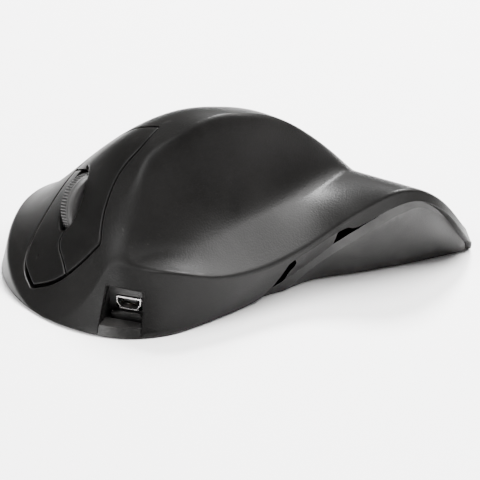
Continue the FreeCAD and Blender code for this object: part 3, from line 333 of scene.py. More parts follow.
def makeMesh(name, points, faces, smooth=True):
    # points are in millimetres; faces are rows of four (or three) indices
    mesh = bpy.data.meshes.new(name)
    sides = faces.shape[1]
    mesh.vertices.add(len(points))
    mesh.vertices.foreach_set("co", (points * toMetres).astype(np.float32).ravel())
    mesh.loops.add(faces.size)
    mesh.loops.foreach_set("vertex_index", faces.astype(np.int32).ravel())
    mesh.polygons.add(len(faces))
    mesh.polygons.foreach_set("loop_start", np.arange(0, faces.size, sides, dtype=np.int32))
    mesh.polygons.foreach_set("loop_total", np.full(len(faces), sides, np.int32))
    mesh.polygons.foreach_set("use_smooth", np.full(len(faces), smooth))
    mesh.update(calc_edges=True)
    mesh.validate()
    mesh.set_sharp_from_angle(angle=math.radians(40))
    piece = bpy.data.objects.new(name, mesh)
    bpy.context.scene.collection.objects.link(piece)
    return piece


def outwards(points, faces):
    # turns the faces round when they enclose a negative volume
    a, b, c = points[faces[:, 0]], points[faces[:, 1]], points[faces[:, 2]]
    volume = np.einsum("ij,ij->i", a, np.cross(b, c)).sum()
    if faces.shape[1] == 4:
        d = points[faces[:, 3]]
        volume += np.einsum("ij,ij->i", a, np.cross(c, d)).sum()
    return faces if volume > 0 else faces[:, ::-1]


def gridFaces(rows, columns, closeRows, closeColumns):
    # quads between neighbours of a grid whose points are stored row by row
    i = np.arange(rows if closeRows else rows - 1)[:, None]
    j = np.arange(columns if closeColumns else columns - 1)[None, :]
    nextRow = (i + 1) % rows
    nextColumn = (j + 1) % columns
    corners = [i * columns + j, i * columns + nextColumn, nextRow * columns + nextColumn, nextRow * columns + j]
    return np.stack([np.broadcast_to(c, (i.size, j.size)) for c in corners], -1).reshape(-1, 4)


def ringSolid(name, rows):
    # a closed solid from closed rings, of which the last joins the first
    points = np.concatenate(rows)
    faces = gridFaces(len(rows), len(rows[0]), True, True)
    return makeMesh(name, points, outwards(points, faces))


def bendRows(start, corner, end, count):
    # rows of a quadratic curve that rounds the corner between two rings
    part = np.linspace(0, 1, count)[:, None, None]
    return (1 - part) ** 2 * start + 2 * part * (1 - part) * corner + part ** 2 * end


def evenGrid(grid, rounds):
    # Winslow smoothing: pulls a ring-shaped grid of plan points even, without folds
    for _ in range(rounds):
        left, right = np.roll(grid, 1, 1)[1:-1], np.roll(grid, -1, 1)[1:-1]
        below, above = grid[:-2], grid[2:]
        alongU, alongV = (right - left) / 2, (above - below) / 2
        cross = (np.roll(above, -1, 1) - np.roll(above, 1, 1)
                 - np.roll(below, -1, 1) + np.roll(below, 1, 1)) / 4
        alpha = (alongV ** 2).sum(-1, keepdims=True)
        beta = (alongU * alongV).sum(-1, keepdims=True)
        gamma = (alongU ** 2).sum(-1, keepdims=True)
        pulled = alpha * (left + right) + gamma * (above + below) - 2 * beta * cross
        grid[1:-1] = pulled / (2 * (alpha + gamma))
    return grid


def topNormal(x, y):
    # upright minus the slopes, which are central differences of the height
    reach = 0.05
    slopeX = (topHeight(x + reach, y) - topHeight(x - reach, y)) / (2 * reach)
    slopeY = (topHeight(x, y + reach) - topHeight(x, y - reach)) / (2 * reach)
    normal = np.stack([-slopeX, -slopeY, np.ones_like(slopeX)], -1)
    return normal / np.linalg.norm(normal, axis=-1, keepdims=True)


def wallNormal(s, t):
    # along the outline crossed with up the wall
    reach = 0.02
    along = wallAt(s + reach, t) - wallAt(s - reach, t)
    up = wallAt(s, t + reach) - wallAt(s, t)
    normal = np.cross(along, up)
    return normal / np.linalg.norm(normal, axis=-1, keepdims=True)


usbRecess = {"x": 13.9, "y": -55.4, "yaw": 26.0, "width": 12.6, "top": 12.8, "from": 20.0, "to": 29.0}
upperShell = {"around": 500, "across": 88, "rimRound": 1.1, "openingRound": 0.5, "middle": (-15.0, -47.0),
              "lipRound": 0.35, "sideSteps": 16, "topSteps": 24, "recessSoft": 9}


def levelPart(s, level):
    # part of the rise at which the wall reaches a level
    low, one = wallAt(s, np.zeros(np.shape(s))), wallAt(s, np.ones(np.shape(s)))
    return (level - low[..., 2]) / (one[..., 2] - low[..., 2])


def recessEdge(side, levels):
    # where one side of the USB recess meets the wall, at each level
    yaw = math.radians(usbRecess["yaw"])
    across = np.array([math.cos(yaw), math.sin(yaw)])
    mouth = np.array([usbRecess["x"], usbRecess["y"]])

    def beyond(s):
        point = wallAt(s, levelPart(s, levels))
        return (point[..., :2] - mouth) @ across - side * usbRecess["width"] / 2
    return solveUp(beyond, np.full(levels.shape, usbRecess["from"]), np.full(levels.shape, usbRecess["to"]))


def shellStations():
    # stations round the upper shell's lower edge, which rises over the USB recess
    count, sides, tops = upperShell["around"], upperShell["sideSteps"], upperShell["topSteps"]
    turn = wallSpacing[-1]
    fine = np.linspace(0, turn, 4001)
    rim = wallAt(fine, edgePart(fine))
    leaf = fromFinger(liftToForm(leafLoop(0, 0, 1500)))[:, :2]
    centre = np.array(upperShell["middle"])
    rimAngle = np.unwrap(np.arctan2(*(rim[:, :2] - centre).T[::-1]))
    steps = np.maximum(np.diff(rimAngle), 0.25 * np.diff(fine) * 2 * math.pi / turn)
    steps = softened(steps[:, None], 60, closed=True)[:, 0]
    steps *= 2 * math.pi / steps.sum()
    rimAngle = rimAngle[0] + np.concatenate([[0], np.cumsum(steps)])
    leafAngle = np.arctan2(*(leaf - centre).T[::-1])
    order = np.argsort(leafAngle)
    leafStep = np.linalg.norm(np.diff(leaf[order], axis=0, append=leaf[order][:1]), axis=1)
    wrapped = np.concatenate([leafAngle[order] - 2 * math.pi, leafAngle[order], leafAngle[order] + 2 * math.pi])
    run = np.cumsum(np.tile(leafStep, 3))
    leafRun = np.interp(rimAngle, wrapped, run)
    rimRun = np.concatenate([[0], np.cumsum(np.linalg.norm(np.diff(rim, axis=0), axis=1))])
    measure = rimRun / rimRun[-1] + leafRun / leafStep.sum()
    left = recessEdge(-1, np.array([handForm["footRise"]]))[0]
    right = recessEdge(1, np.array([handForm["footRise"]]))[0]
    rest = count - 2 * sides - tops
    start, end = np.interp([right, left], fine, measure)
    total = measure[-1] - measure[0]
    want = np.linspace(start, end + total, rest)
    whole = np.concatenate([measure, measure[1:] + total])
    restS = np.interp(want, whole, np.concatenate([fine, fine[1:] + turn])) - turn
    levels = np.linspace(handForm["footRise"], usbRecess["top"], sides + 1)
    up, down = recessEdge(-1, levels)[1:], recessEdge(1, levels)[::-1][1:-1]
    over = np.linspace(up[-1], down[0], tops + 2)[1:]
    s = np.concatenate([restS, up, over, down])
    level = np.concatenate([np.full(len(restS), handForm["footRise"]), levels[1:],
                            np.full(len(over), usbRecess["top"]), levels[::-1][1:-1]])
    return s, level, (fine, rimAngle), (leafAngle[order], leaf[order])


def pairedLeaf(angles, leafAngle, leafPoints):
    # the opening's edge at the same bearing as each point of the rim
    wrapped = np.concatenate([leafAngle - 2 * math.pi, leafAngle, leafAngle + 2 * math.pi])
    points = np.tile(leafPoints, (3, 1))
    turned = np.mod(angles - leafAngle[0], 2 * math.pi) + leafAngle[0]
    return np.stack([np.interp(turned, wrapped, points[:, k]) for k in range(2)], 1)


def buildUpperShell():
    # rings from the opening's edge over the top, the rim and the wall to the lower edge and back inside
    stations, level, (fine, rimAngle), (leafAngle, leafPoints) = shellStations()
    count = len(stations)
    turn = wallSpacing[-1]
    drift = turn * np.arange(count) / count
    soft = softened((stations - drift)[:, None], upperShell["recessSoft"], closed=True)[:, 0] + drift
    tRim = edgePart(soft)
    rim = wallAt(soft, tRim)
    angles = np.interp(np.mod(soft, turn), fine, rimAngle)
    leafPlan = pairedLeaf(angles, leafAngle, leafPoints)
    edge = np.concatenate([leafPlan, topHeight(leafPlan[:, 0], leafPlan[:, 1])[:, None]], 1)

    ahead = np.roll(leafPlan, -1, 0) - np.roll(leafPlan, 1, 0)
    ahead = softened(ahead, 2, closed=True)
    ahead /= np.linalg.norm(ahead, axis=1)[:, None]
    outwardsLeaf = np.stack([ahead[:, 1], -ahead[:, 0]], 1)
    first = leafPlan + outwardsLeaf * upperShell["openingRound"]
    along = np.roll(rim[:, :2], -1, 0) - np.roll(rim[:, :2], 1, 0)
    along /= np.linalg.norm(along, axis=1)[:, None]
    inwardsRim = softened(np.stack([-along[:, 1], along[:, 0]], 1), 2, closed=True)
    room = np.linalg.norm(rim[:, :2] - leafPlan, axis=1)
    wallHeight = rim[:, 2] - wallAt(stations, levelPart(stations, level))[:, 2]
    rounding = np.minimum(upperShell["rimRound"], np.minimum(0.35 * room, 0.35 * np.abs(wallHeight)))
    last = rim[:, :2] + inwardsRim * rounding[:, None]

    part = np.linspace(0, 1, upperShell["across"])[:, None, None]
    plan = evenGrid(first * (1 - part) + last * part, 160)
    top = np.concatenate([plan, topHeight(plan[..., 0], plan[..., 1])[..., None]], -1)
    down = -fingerTurn[:, 2]
    openingRows = bendRows(edge + down * upperShell["openingRound"], edge, top[0], 6)[:-1]

    rise = wallAt(soft, np.ones(count))[:, 2] - wallAt(soft, np.zeros(count))[:, 2]
    tBelow = tRim - rounding / rise
    tLow = np.where(level > handForm["footRise"] + 1e-6, levelPart(stations, level), lowPart(stations, level))
    below = wallAt(soft, tBelow)
    rimRows = bendRows(top[-1], rim, below, 8)[1:]
    rows = np.linspace(0, 1, 15)[1:, None]
    sDown = soft + (stations - soft) * rows ** 1.2
    wallRows = wallAt(sDown, tBelow + (tLow - tBelow) * rows)
    low = wallRows[-1]
    outNormal = wallNormal(stations, tLow)
    outNormal = np.where((outNormal[:, :1] * inwardsRim[:, :1] + outNormal[:, 1:2] * inwardsRim[:, 1:2]) > 0,
                         -outNormal, outNormal)
    flat = outNormal * np.array([1, 1, 0])
    flat /= np.linalg.norm(flat, axis=1)[:, None]
    lip = upperShell["lipRound"]
    up = np.array([0, 0, lip])
    lipRows = bendRows(low + up, low, low - flat * lip, 4)
    wallRows = wallRows[:-1]
    innerLow = low - flat * handForm["wall"]
    normals = topNormal(plan[..., 0], plan[..., 1])
    inner = (top - normals * handForm["wall"])[::-3]
    inner[..., 2] = np.maximum(inner[..., 2], handForm["footRise"] + 0.1)
    innerRim = below - flat * handForm["wall"]
    innerRim[:, 2] = np.minimum(innerRim[:, 2], rim[:, 2] - handForm["wall"])
    innerRim[:, 2] = np.maximum(innerRim[:, 2], innerLow[:, 2] + 0.1)
    innerWall = bendRows(innerLow, (innerLow + innerRim) / 2, innerRim, 5)
    innerEdge = edge + down * (handForm["wall"] + 0.9)
    rings = [openingRows, top[:-1], top[-1:], rimRows, wallRows, lipRows, innerWall, inner[1:-1],
             innerEdge[None]]
    return ringSolid("upperShell", [ring for group in rings for ring in group])


def meet(first, second):
    # the first crossing of two open polylines: places along both and the point
    a, b = first[:-1, None], first[1:, None]
    c, d = second[None, :-1], second[None, 1:]
    run, other = b - a, d - c
    scale = run[..., 0] * other[..., 1] - run[..., 1] * other[..., 0]
    scale = np.where(np.abs(scale) < 1e-12, 1e-12, scale)
    offset = c - a
    u = (offset[..., 0] * other[..., 1] - offset[..., 1] * other[..., 0]) / scale
    v = (offset[..., 0] * run[..., 1] - offset[..., 1] * run[..., 0]) / scale
    hits = np.argwhere((u >= 0) & (u < 1) & (v >= 0) & (v < 1))
    i, j = hits[0]
    return i + u[i, j], j + v[i, j], first[i] + u[i, j] * (first[i + 1] - first[i])


def stretch(points, start, end):
    # the part of a polyline between two places along it, backwards where start is the later one
    low, high = min(start, end), max(start, end)
    inside = np.arange(math.floor(low) + 1, math.ceil(high))
    place = np.concatenate([[low], inside, [high]])
    index = np.arange(len(points))
    cut = np.stack([np.interp(place, index, points[:, k]) for k in range(2)], 1)
    return cut if end >= start else cut[::-1]


def slotLine(sign, count=440):
    # the slot's oval from its rear end, along one side, to just past its front end
    turnPart = np.linspace(0, math.pi * 1.1, count)
    side = sign * np.sin(turnPart)
    halfWidth = np.where(side > 0, buttonLeaf["slotIndex"], buttonLeaf["slotMiddle"])
    along = buttonLeaf["slotY"] + buttonLeaf["slotLength"] / 2 * np.cos(turnPart)
    return np.stack([halfWidth * side, along], 1)


def buttonSides(towardsThumb):
    # four sides of a button: the slot's edge, the split, the outer edge and the rear split
    sign = 1 if towardsThumb else -1
    half = sign * buttonLeaf["splitGap"] / 2
    loop = leafLoop(buttonLeaf["sideGap"], buttonLeaf["frontGap"], 1500)
    loop = np.vstack([loop, loop[:1]])
    slot = slotLine(sign)
    split = curveThrough(buttonLeaf["split"], 400) + np.array([0.8, 0.6]) * half
    rearLine = buttonLeaf["rearSplit"] + half
    level = np.array([[-40.0, rearLine], [4.0, rearLine]])
    outerAt, _, _ = meet(loop[900:], level)
    outerAt += 900
    splitEnd, frontAt, _ = meet(split, loop)
    slotFront, splitStart, _ = meet(slot[200:], split)
    slotFront += 200
    if towardsThumb:
        slotRear = np.array([[-0.2, rearLine], [0.0, buttonLeaf["slotY"] + buttonLeaf["slotLength"] / 2]])
        inner = np.vstack([slotRear, stretch(slot, 1, slotFront)])
        whole = np.vstack([loop, loop[1:]])
        outer = stretch(whole, outerAt, frontAt + len(loop) - 1)
    else:
        slotRearAt, _, _ = meet(slot[:200], level)
        inner = stretch(slot, slotRearAt, slotFront)
        outer = stretch(loop, outerAt, frontAt)
    return inner, stretch(split, splitStart, splitEnd), outer, np.stack([inner[0], outer[0]])


def coonsPatch(inner, front, outer, rear, countAlong, countAcross):
    # blends four sides: ruled along, plus ruled across, minus the corners' own surface
    u = np.linspace(0, 1, countAlong)[None, :, None]
    v = np.linspace(0, 1, countAcross)[:, None, None]
    ruledAlong = (1 - v) * inner + v * outer
    ruledAcross = (1 - u) * rear[:, None] + u * front[:, None]
    corners = ((1 - u) * (1 - v) * inner[0] + u * (1 - v) * inner[-1]
               + (1 - u) * v * outer[0] + u * v * outer[-1])
    return ruledAlong + ruledAcross - corners


def indexFaces(index, closeColumns):
    # quads between neighbours of an array of point numbers
    ahead = np.roll(index, -1, 1) if closeColumns else index[:, 1:]
    here = index if closeColumns else index[:, :-1]
    return np.stack([here[:-1], ahead[:-1], ahead[1:], here[1:]], -1).reshape(-1, 4)


def evenPatch(grid, rounds):
    # Winslow smoothing of a four-sided grid whose border stays
    for _ in range(rounds):
        left, right, below, above = grid[1:-1, :-2], grid[1:-1, 2:], grid[:-2, 1:-1], grid[2:, 1:-1]
        alongU, alongV = (right - left) / 2, (above - below) / 2
        cross = (grid[2:, 2:] - grid[2:, :-2] - grid[:-2, 2:] + grid[:-2, :-2]) / 4
        alpha = (alongV ** 2).sum(-1, keepdims=True)
        beta = (alongU * alongV).sum(-1, keepdims=True)
        gamma = (alongU ** 2).sum(-1, keepdims=True)
        grid[1:-1, 1:-1] = (alpha * (left + right) + gamma * (above + below) - 2 * beta * cross) / (
            2 * (alpha + gamma) + 1e-9)
    return grid


def buildButton(name, towardsThumb, countAlong, countAcross):
    # a skin over the form whose border is rounded down to its wall
    inner, front, outer, rear = buttonSides(towardsThumb)
    inner, outer = evenly(inner, countAlong), evenly(outer, countAlong)
    front, rear = evenly(front, countAcross), evenly(rear, countAcross)
    border = np.vstack([inner[:-1], front[:-1], outer[::-1][:-1], rear[::-1][:-1]])
    ahead = np.roll(border, -1, 0) - border
    ahead /= np.linalg.norm(ahead, axis=1)[:, None]
    normal = np.stack([-ahead[:, 1], ahead[:, 0]], 1)
    area = 0.5 * np.sum(border[:, 0] * np.roll(border[:, 1], -1) - border[:, 1] * np.roll(border[:, 0], -1))
    normal *= math.copysign(1, area)
    mean = normal + np.roll(normal, 1, 0)
    size = np.linalg.norm(mean, axis=1)
    stretchBy = np.clip(2 / np.maximum(size, 1e-6), 1, 1.6)
    mean = mean / np.maximum(size, 1e-6)[:, None] * stretchBy[:, None]
    edgeRound = buttonLeaf["edgeRound"]
    drawnIn = border + mean * edgeRound
    n, m = countAlong - 1, countAcross - 1
    sides = [drawnIn[:n + 1], drawnIn[n:n + m + 1], drawnIn[n + m:2 * n + m + 1][::-1],
             np.vstack([drawnIn[2 * n + m:], drawnIn[:1]])[::-1]]
    plan = evenPatch(coonsPatch(sides[0], sides[1], sides[2], sides[3], countAlong, countAcross), 200)
    top = liftToForm(plan)
    edge = liftToForm(border)
    wall = np.array([0, 0, buttonLeaf["wall"]])
    numbers = np.arange(countAlong * countAcross).reshape(countAcross, countAlong)
    ringNumbers = np.concatenate([numbers[0, :-1], numbers[:-1, -1], numbers[-1, ::-1][:-1],
                                  numbers[::-1, 0][:-1]])
    topRing = top.reshape(-1, 3)[ringNumbers]
    rounded = bendRows(topRing, edge, edge - np.array([0, 0, edgeRound]), 7)[1:]
    lower = np.stack([edge - wall * 0.65, edge - wall])
    strip = np.concatenate([rounded, lower])
    bottom = top - wall
    total = numbers.size
    stripNumbers = total + np.arange(strip.shape[0] * strip.shape[1]).reshape(strip.shape[:2])
    bottomStart = total + stripNumbers.size
    rings = np.vstack([ringNumbers[None], stripNumbers, (ringNumbers + bottomStart)[None]])
    points = np.vstack([top.reshape(-1, 3), strip.reshape(-1, 3), bottom.reshape(-1, 3)])
    faces = np.vstack([indexFaces(numbers, False), indexFaces(rings, True)[:, ::-1],
                       indexFaces(numbers + bottomStart, False)[:, ::-1]])
    return makeMesh(name, fromFinger(points), outwards(fromFinger(points), faces))


tyre = {"radius": 11.0, "width": 5.6, "seat": 8.0, "tread": 2.8, "grooveDepth": 0.5, "ribs": 72, "perRib": 8}


def buildTyre():
    # a profile carried round the axle; the grooves are a rounded wave along the turn
    half, tread = tyre["width"] / 2, tyre["tread"] / 2
    radius = tyre["radius"]
    shoulder = np.linspace(0, math.pi / 2, 12)
    side = np.stack([half - 1.5 + 1.5 * np.cos(shoulder), radius - 1.7 + 1.25 * np.sin(shoulder)], 1)
    band = np.array([[tread + 0.25, radius - 0.42], [tread + 0.08, radius - 0.3], [tread, radius - 0.08],
                     [tread - 0.12, radius], [0.9, radius], [0.45, radius]])
    right = np.vstack([[half, tyre["seat"]], [half, radius - 2.4], side, band])
    left = right[::-1] * np.array([-1, 1])
    profile = np.vstack([right, [[0, radius]], left])
    count = tyre["ribs"] * tyre["perRib"]
    angle = np.linspace(0, 2 * math.pi, count, endpoint=False)
    wave = 0.5 - 0.5 * np.cos(tyre["ribs"] * angle)
    wave = wave ** 1.6
    across = np.clip((tread - np.abs(profile[:, 0])) / 0.14, 0, 1) * (profile[:, 1] > radius - 0.2)
    r = profile[:, 1][:, None] - tyre["grooveDepth"] * across[:, None] * wave
    x = np.repeat(profile[:, 0][:, None], count, 1)
    points = np.stack([x, r * np.cos(angle), r * np.sin(angle)], -1)
    return ringSolid("wheelTyre", list(fromFinger(points)))


print("upper shell")
upper = buildUpperShell()
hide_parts("top_shell")
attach(upper, "case")
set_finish(upper, "shell_plastic")

print("buttons")
leftButton = buildButton("leftButton", True, 260, 60)
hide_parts("left_button")
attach(leftButton, "left_key")
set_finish(leftButton, "button_plastic")
rightButton = buildButton("rightButton", False, 200, 48)
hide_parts("right_button")
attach(rightButton, "right_key")
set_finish(rightButton, "button_plastic")

print("tyre")
tyrePiece = buildTyre()
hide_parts("wheel_tyre")
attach(tyrePiece, "wheel")
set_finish(tyrePiece, "wheel_rubber")

print("materials")


def put(tree, kind, inputs=None, **settings):
    # adds a node; an input may be another node's output or a plain value
    node = tree.nodes.new(kind)
    for name, value in settings.items():
        setattr(node, name, value)
    for name, value in (inputs or {}).items():
        if isinstance(value, bpy.types.NodeSocket):
            tree.links.new(value, node.inputs[name])
        else:
            node.inputs[name].default_value = value
    return node


def calculate(tree, operation, first, second=0.0, clamp=False):
    return put(tree, "ShaderNodeMath", {0: first, 1: second}, operation=operation, use_clamp=clamp).outputs[0]


def times(tree, first, second):
    return calculate(tree, "MULTIPLY", first, second)


def remap(tree, value, low, high, toLow=0.0, toHigh=1.0):
    # an S-shaped step from one range to another
    node = put(tree, "ShaderNodeMapRange", {"Value": value, "From Min": low, "From Max": high, "To Min": toLow,
                                            "To Max": toHigh}, interpolation_type="SMOOTHSTEP")
    return node.outputs["Result"]


def mixColour(tree, factor, first, second, blend="MIX"):
    node = put(tree, "ShaderNodeMix", data_type="RGBA", blend_type=blend)
    for index, value in ((0, factor), (6, first), (7, second)):
        if isinstance(value, bpy.types.NodeSocket):
            tree.links.new(value, node.inputs[index])
        else:
            node.inputs[index].default_value = value
    return node.outputs[2]


def startGroup(name, inputs, outputs):
    tree = bpy.data.node_groups.new(name, "ShaderNodeTree")
    for label, kind, value in inputs:
        socket = tree.interface.new_socket(label, in_out="INPUT", socket_type=kind)
        if value is not None:
            socket.default_value = value
    for label, kind in outputs:
        tree.interface.new_socket(label, in_out="OUTPUT", socket_type=kind)
    return tree, tree.nodes.new("NodeGroupInput").outputs, tree.nodes.new("NodeGroupOutput").inputs


def placeGroup(tree, group, inputs):
    node = tree.nodes.new("ShaderNodeGroup")
    node.node_tree = group
    for name, value in inputs.items():
        if isinstance(value, bpy.types.NodeSocket):
            tree.links.new(value, node.inputs[name])
        else:
            node.inputs[name].default_value = value
    return node.outputs


def makeMouldGrain():
    # the spark-eroded grain of a mould: rounded cells over a finer noise
    tree, given, out = startGroup("mouldGrain", [("Vector", "NodeSocketVector", None),
                                                 ("Scale", "NodeSocketFloat", 2000.0),
                                                 ("Sharpness", "NodeSocketFloat", 0.5)],
                                  [("Height", "NodeSocketFloat"), ("Speck", "NodeSocketFloat")])
    cells = put(tree, "ShaderNodeTexVoronoi", {"Vector": given["Vector"], "Scale": given["Scale"],
                                               "Randomness": 1.0}, feature="SMOOTH_F1")
    fine = put(tree, "ShaderNodeTexNoise", {"Vector": given["Vector"], "Detail": 3.0, "Roughness": 0.6,
                                            "Scale": times(tree, given["Scale"], 1.7)})
    dome = remap(tree, cells.outputs["Distance"], 0.15, 0.75, 1.0, 0.0)
    height = calculate(tree, "ADD", times(tree, dome, given["Sharpness"]),
                       times(tree, fine.outputs[0], 0.5))
    tree.links.new(height, out["Height"])
    tree.links.new(remap(tree, fine.outputs[0], 0.58, 0.72), out["Speck"])
    return tree


def makeEdgeWear():
    # rubbed edges: convex places, broken up by noise
    tree, given, out = startGroup("edgeWear", [("Vector", "NodeSocketVector", None),
                                               ("Reach", "NodeSocketFloat", 0.06),
                                               ("Scale", "NodeSocketFloat", 160.0)],
                                  [("Wear", "NodeSocketFloat"), ("Crevice", "NodeSocketFloat")])
    geometry = tree.nodes.new("ShaderNodeNewGeometry")
    pointed = geometry.outputs["Pointiness"]
    broken = put(tree, "ShaderNodeTexNoise", {"Vector": given["Vector"], "Scale": given["Scale"],
                                              "Detail": 5.0})
    high = calculate(tree, "ADD", 0.5, given["Reach"])
    low = calculate(tree, "SUBTRACT", 0.5, given["Reach"])
    edge = put(tree, "ShaderNodeMapRange", {"Value": pointed, "From Min": 0.505, "From Max": high}).outputs[0]
    gutter = put(tree, "ShaderNodeMapRange", {"Value": pointed, "From Min": 0.495, "From Max": low}).outputs[0]
    rubbed = times(tree, edge, remap(tree, broken.outputs[0], 0.35, 0.65))
    tree.links.new(rubbed, out["Wear"])
    tree.links.new(gutter, out["Crevice"])
    return tree


def makeHandling():
    # what hands leave: wide soft patches of polish and of skin grease, and fine dust that lies on top
    tree, given, out = startGroup("handling", [("Vector", "NodeSocketVector", None),
                                               ("Patch Scale", "NodeSocketFloat", 28.0),
                                               ("Dust Scale", "NodeSocketFloat", 900.0)],
                                  [("Patch", "NodeSocketFloat"), ("Smear", "NodeSocketFloat"),
                                   ("Dust", "NodeSocketFloat")])
    wide = put(tree, "ShaderNodeTexNoise", {"Vector": given["Vector"], "Scale": given["Patch Scale"],
                                            "Detail": 3.0, "Distortion": 0.4})
    smearPlace = put(tree, "ShaderNodeMapping", {"Vector": given["Vector"], "Scale": (1.0, 3.5, 2.0),
                                                 "Rotation": (0.3, 0.5, 0.9)})
    smear = put(tree, "ShaderNodeTexNoise", {"Vector": smearPlace.outputs[0], "Detail": 6.0, "Roughness": 0.65,
                                             "Scale": times(tree, given["Patch Scale"], 2.6)})
    specks = put(tree, "ShaderNodeTexVoronoi", {"Vector": given["Vector"], "Scale": given["Dust Scale"]})
    dots = remap(tree, specks.outputs["Distance"], 0.05, 0.14, 1.0, 0.0)
    spread = put(tree, "ShaderNodeTexNoise", {"Vector": given["Vector"], "Scale": 420.0})
    chosen = remap(tree, spread.outputs[0], 0.6, 0.7)
    geometry = tree.nodes.new("ShaderNodeNewGeometry")
    upright = put(tree, "ShaderNodeSeparateXYZ", {0: geometry.outputs["Normal"]}).outputs["Z"]
    lying = remap(tree, upright, 0.2, 0.9)
    tree.links.new(remap(tree, wide.outputs[0], 0.35, 0.65), out["Patch"])
    tree.links.new(remap(tree, smear.outputs[0], 0.5, 0.7), out["Smear"])
    tree.links.new(times(tree, times(tree, dots, chosen), lying), out["Dust"])
    return tree


def makeBrushed():
    # fine parallel scratches and a slow change of tint
    tree, given, out = startGroup("brushed", [("Vector", "NodeSocketVector", None),
                                              ("Scale", "NodeSocketFloat", 900.0)],
                                  [("Height", "NodeSocketFloat"), ("Tint", "NodeSocketFloat")])
    drawn = put(tree, "ShaderNodeMapping", {"Vector": given["Vector"], "Scale": (0.06, 1.0, 1.0)})
    lines = put(tree, "ShaderNodeTexNoise", {"Vector": drawn.outputs[0], "Scale": given["Scale"],
                                             "Detail": 4.0})
    slow = put(tree, "ShaderNodeTexNoise", {"Vector": given["Vector"], "Scale": 130.0, "Detail": 2.0})
    tree.links.new(lines.outputs[0], out["Height"])
    tree.links.new(remap(tree, slow.outputs[0], 0.35, 0.65), out["Tint"])
    return tree


mouldGrain = makeMouldGrain()
edgeWear = makeEdgeWear()
handling = makeHandling()
brushed = makeBrushed()


def startMaterial(name):
    material = bpy.data.materials.new(name)
    material.use_nodes = True
    tree = material.node_tree
    shader = tree.nodes["Principled BSDF"]
    place = tree.nodes.new("ShaderNodeTexCoord").outputs["Object"]
    return material, tree, shader, place


def grey(level, warmth=0.0):
    return (level * (1 + warmth), level, level * (1 - warmth), 1.0)


def mouldedPlastic(name, finish):
    # grained moulding: two tones, worn edges, polished patches, dust and the mould's own grain
    material, tree, shader, place = startMaterial(name)
    grain = placeGroup(tree, mouldGrain, {"Vector": place, "Scale": finish["grainScale"],
                                          "Sharpness": finish.get("sharpness", 0.6)})
    wear = placeGroup(tree, edgeWear, {"Vector": place, "Reach": 0.07})
    touched = placeGroup(tree, handling, {"Vector": place, "Patch Scale": finish.get("patchScale", 28.0)})
    tone = mixColour(tree, touched["Patch"], finish["colour"], finish["secondColour"])
    speck = mixColour(tree, times(tree, grain["Speck"], finish.get("speck", 0.25)), tone,
                      finish["wornColour"])
    worn = mixColour(tree, times(tree, wear["Wear"], finish.get("wear", 0.5)), speck,
                     finish["wornColour"])
    dusty = mixColour(tree, times(tree, touched["Dust"], finish.get("dust", 0.25)), worn,
                      grey(0.22, 0.03))
    tree.links.new(dusty, shader.inputs["Base Color"])
    rough = remap(tree, touched["Patch"], 0.0, 1.0, finish["roughness"] - finish["roughVary"],
                  finish["roughness"] + finish["roughVary"])
    rough = calculate(tree, "SUBTRACT", rough, times(tree, touched["Smear"], finish["smear"]))
    rough = calculate(tree, "ADD", rough, times(tree, grain["Speck"], 0.08))
    rough = calculate(tree, "SUBTRACT", rough, times(tree, wear["Wear"], 0.08), clamp=True)
    tree.links.new(rough, shader.inputs["Roughness"])
    bump = put(tree, "ShaderNodeBump", {"Height": grain["Height"], "Strength": finish["bump"],
                                        "Distance": finish["bumpDepth"]})
    tree.links.new(bump.outputs[0], shader.inputs["Normal"])
    shader.inputs["IOR"].default_value = finish.get("ior", 1.5)
    return material


def metal(name, finish):
    # bare metal with drawn lines, a slow tint and a darker colour in concave places
    material, tree, shader, place = startMaterial(name)
    lines = placeGroup(tree, brushed, {"Vector": place, "Scale": finish["lineScale"]})
    wear = placeGroup(tree, edgeWear, {"Vector": place, "Reach": 0.1, "Scale": 600.0})
    tone = mixColour(tree, lines["Tint"], finish["colour"], finish["secondColour"])
    # darkens concave places, found by pointiness, towards the finish's darker colour
    tone = mixColour(tree, times(tree, wear["Crevice"], 0.6), tone, finish["creviceColour"])
    tree.links.new(tone, shader.inputs["Base Color"])
    rough = remap(tree, lines["Height"], 0.3, 0.7, finish["roughness"] - 0.07, finish["roughness"] + 0.09)
    tree.links.new(rough, shader.inputs["Roughness"])
    bump = put(tree, "ShaderNodeBump", {"Height": lines["Height"], "Strength": 0.25, "Distance": 0.00002})
    tree.links.new(bump.outputs[0], shader.inputs["Normal"])
    shader.inputs["Metallic"].default_value = 1.0
    return material


def solderMask(name):
    # a green mask with the copper's lines showing through, over a faint glass weave
    material, tree, shader, place = startMaterial(name)
    tracks = put(tree, "ShaderNodeTexBrick", {"Vector": place, "Scale": 260.0, "Mortar Size": 0.1,
                                              "Color1": (0.012, 0.09, 0.04, 1),
                                              "Color2": (0.014, 0.1, 0.045, 1),
                                              "Mortar": (0.03, 0.2, 0.09, 1)})
    weave = put(tree, "ShaderNodeTexWave", {"Vector": place, "Scale": 900.0, "Distortion": 1.0})
    dirt = placeGroup(tree, handling, {"Vector": place})
    tree.links.new(mixColour(tree, times(tree, dirt["Dust"], 0.3), tracks.outputs["Color"],
                             grey(0.3)), shader.inputs["Base Color"])
    tree.links.new(remap(tree, dirt["Smear"], 0.0, 1.0, 0.3, 0.42), shader.inputs["Roughness"])
    bump = put(tree, "ShaderNodeBump", {"Height": weave.outputs[1], "Strength": 0.15, "Distance": 0.00002})
    tree.links.new(bump.outputs[0], shader.inputs["Normal"])
    return material


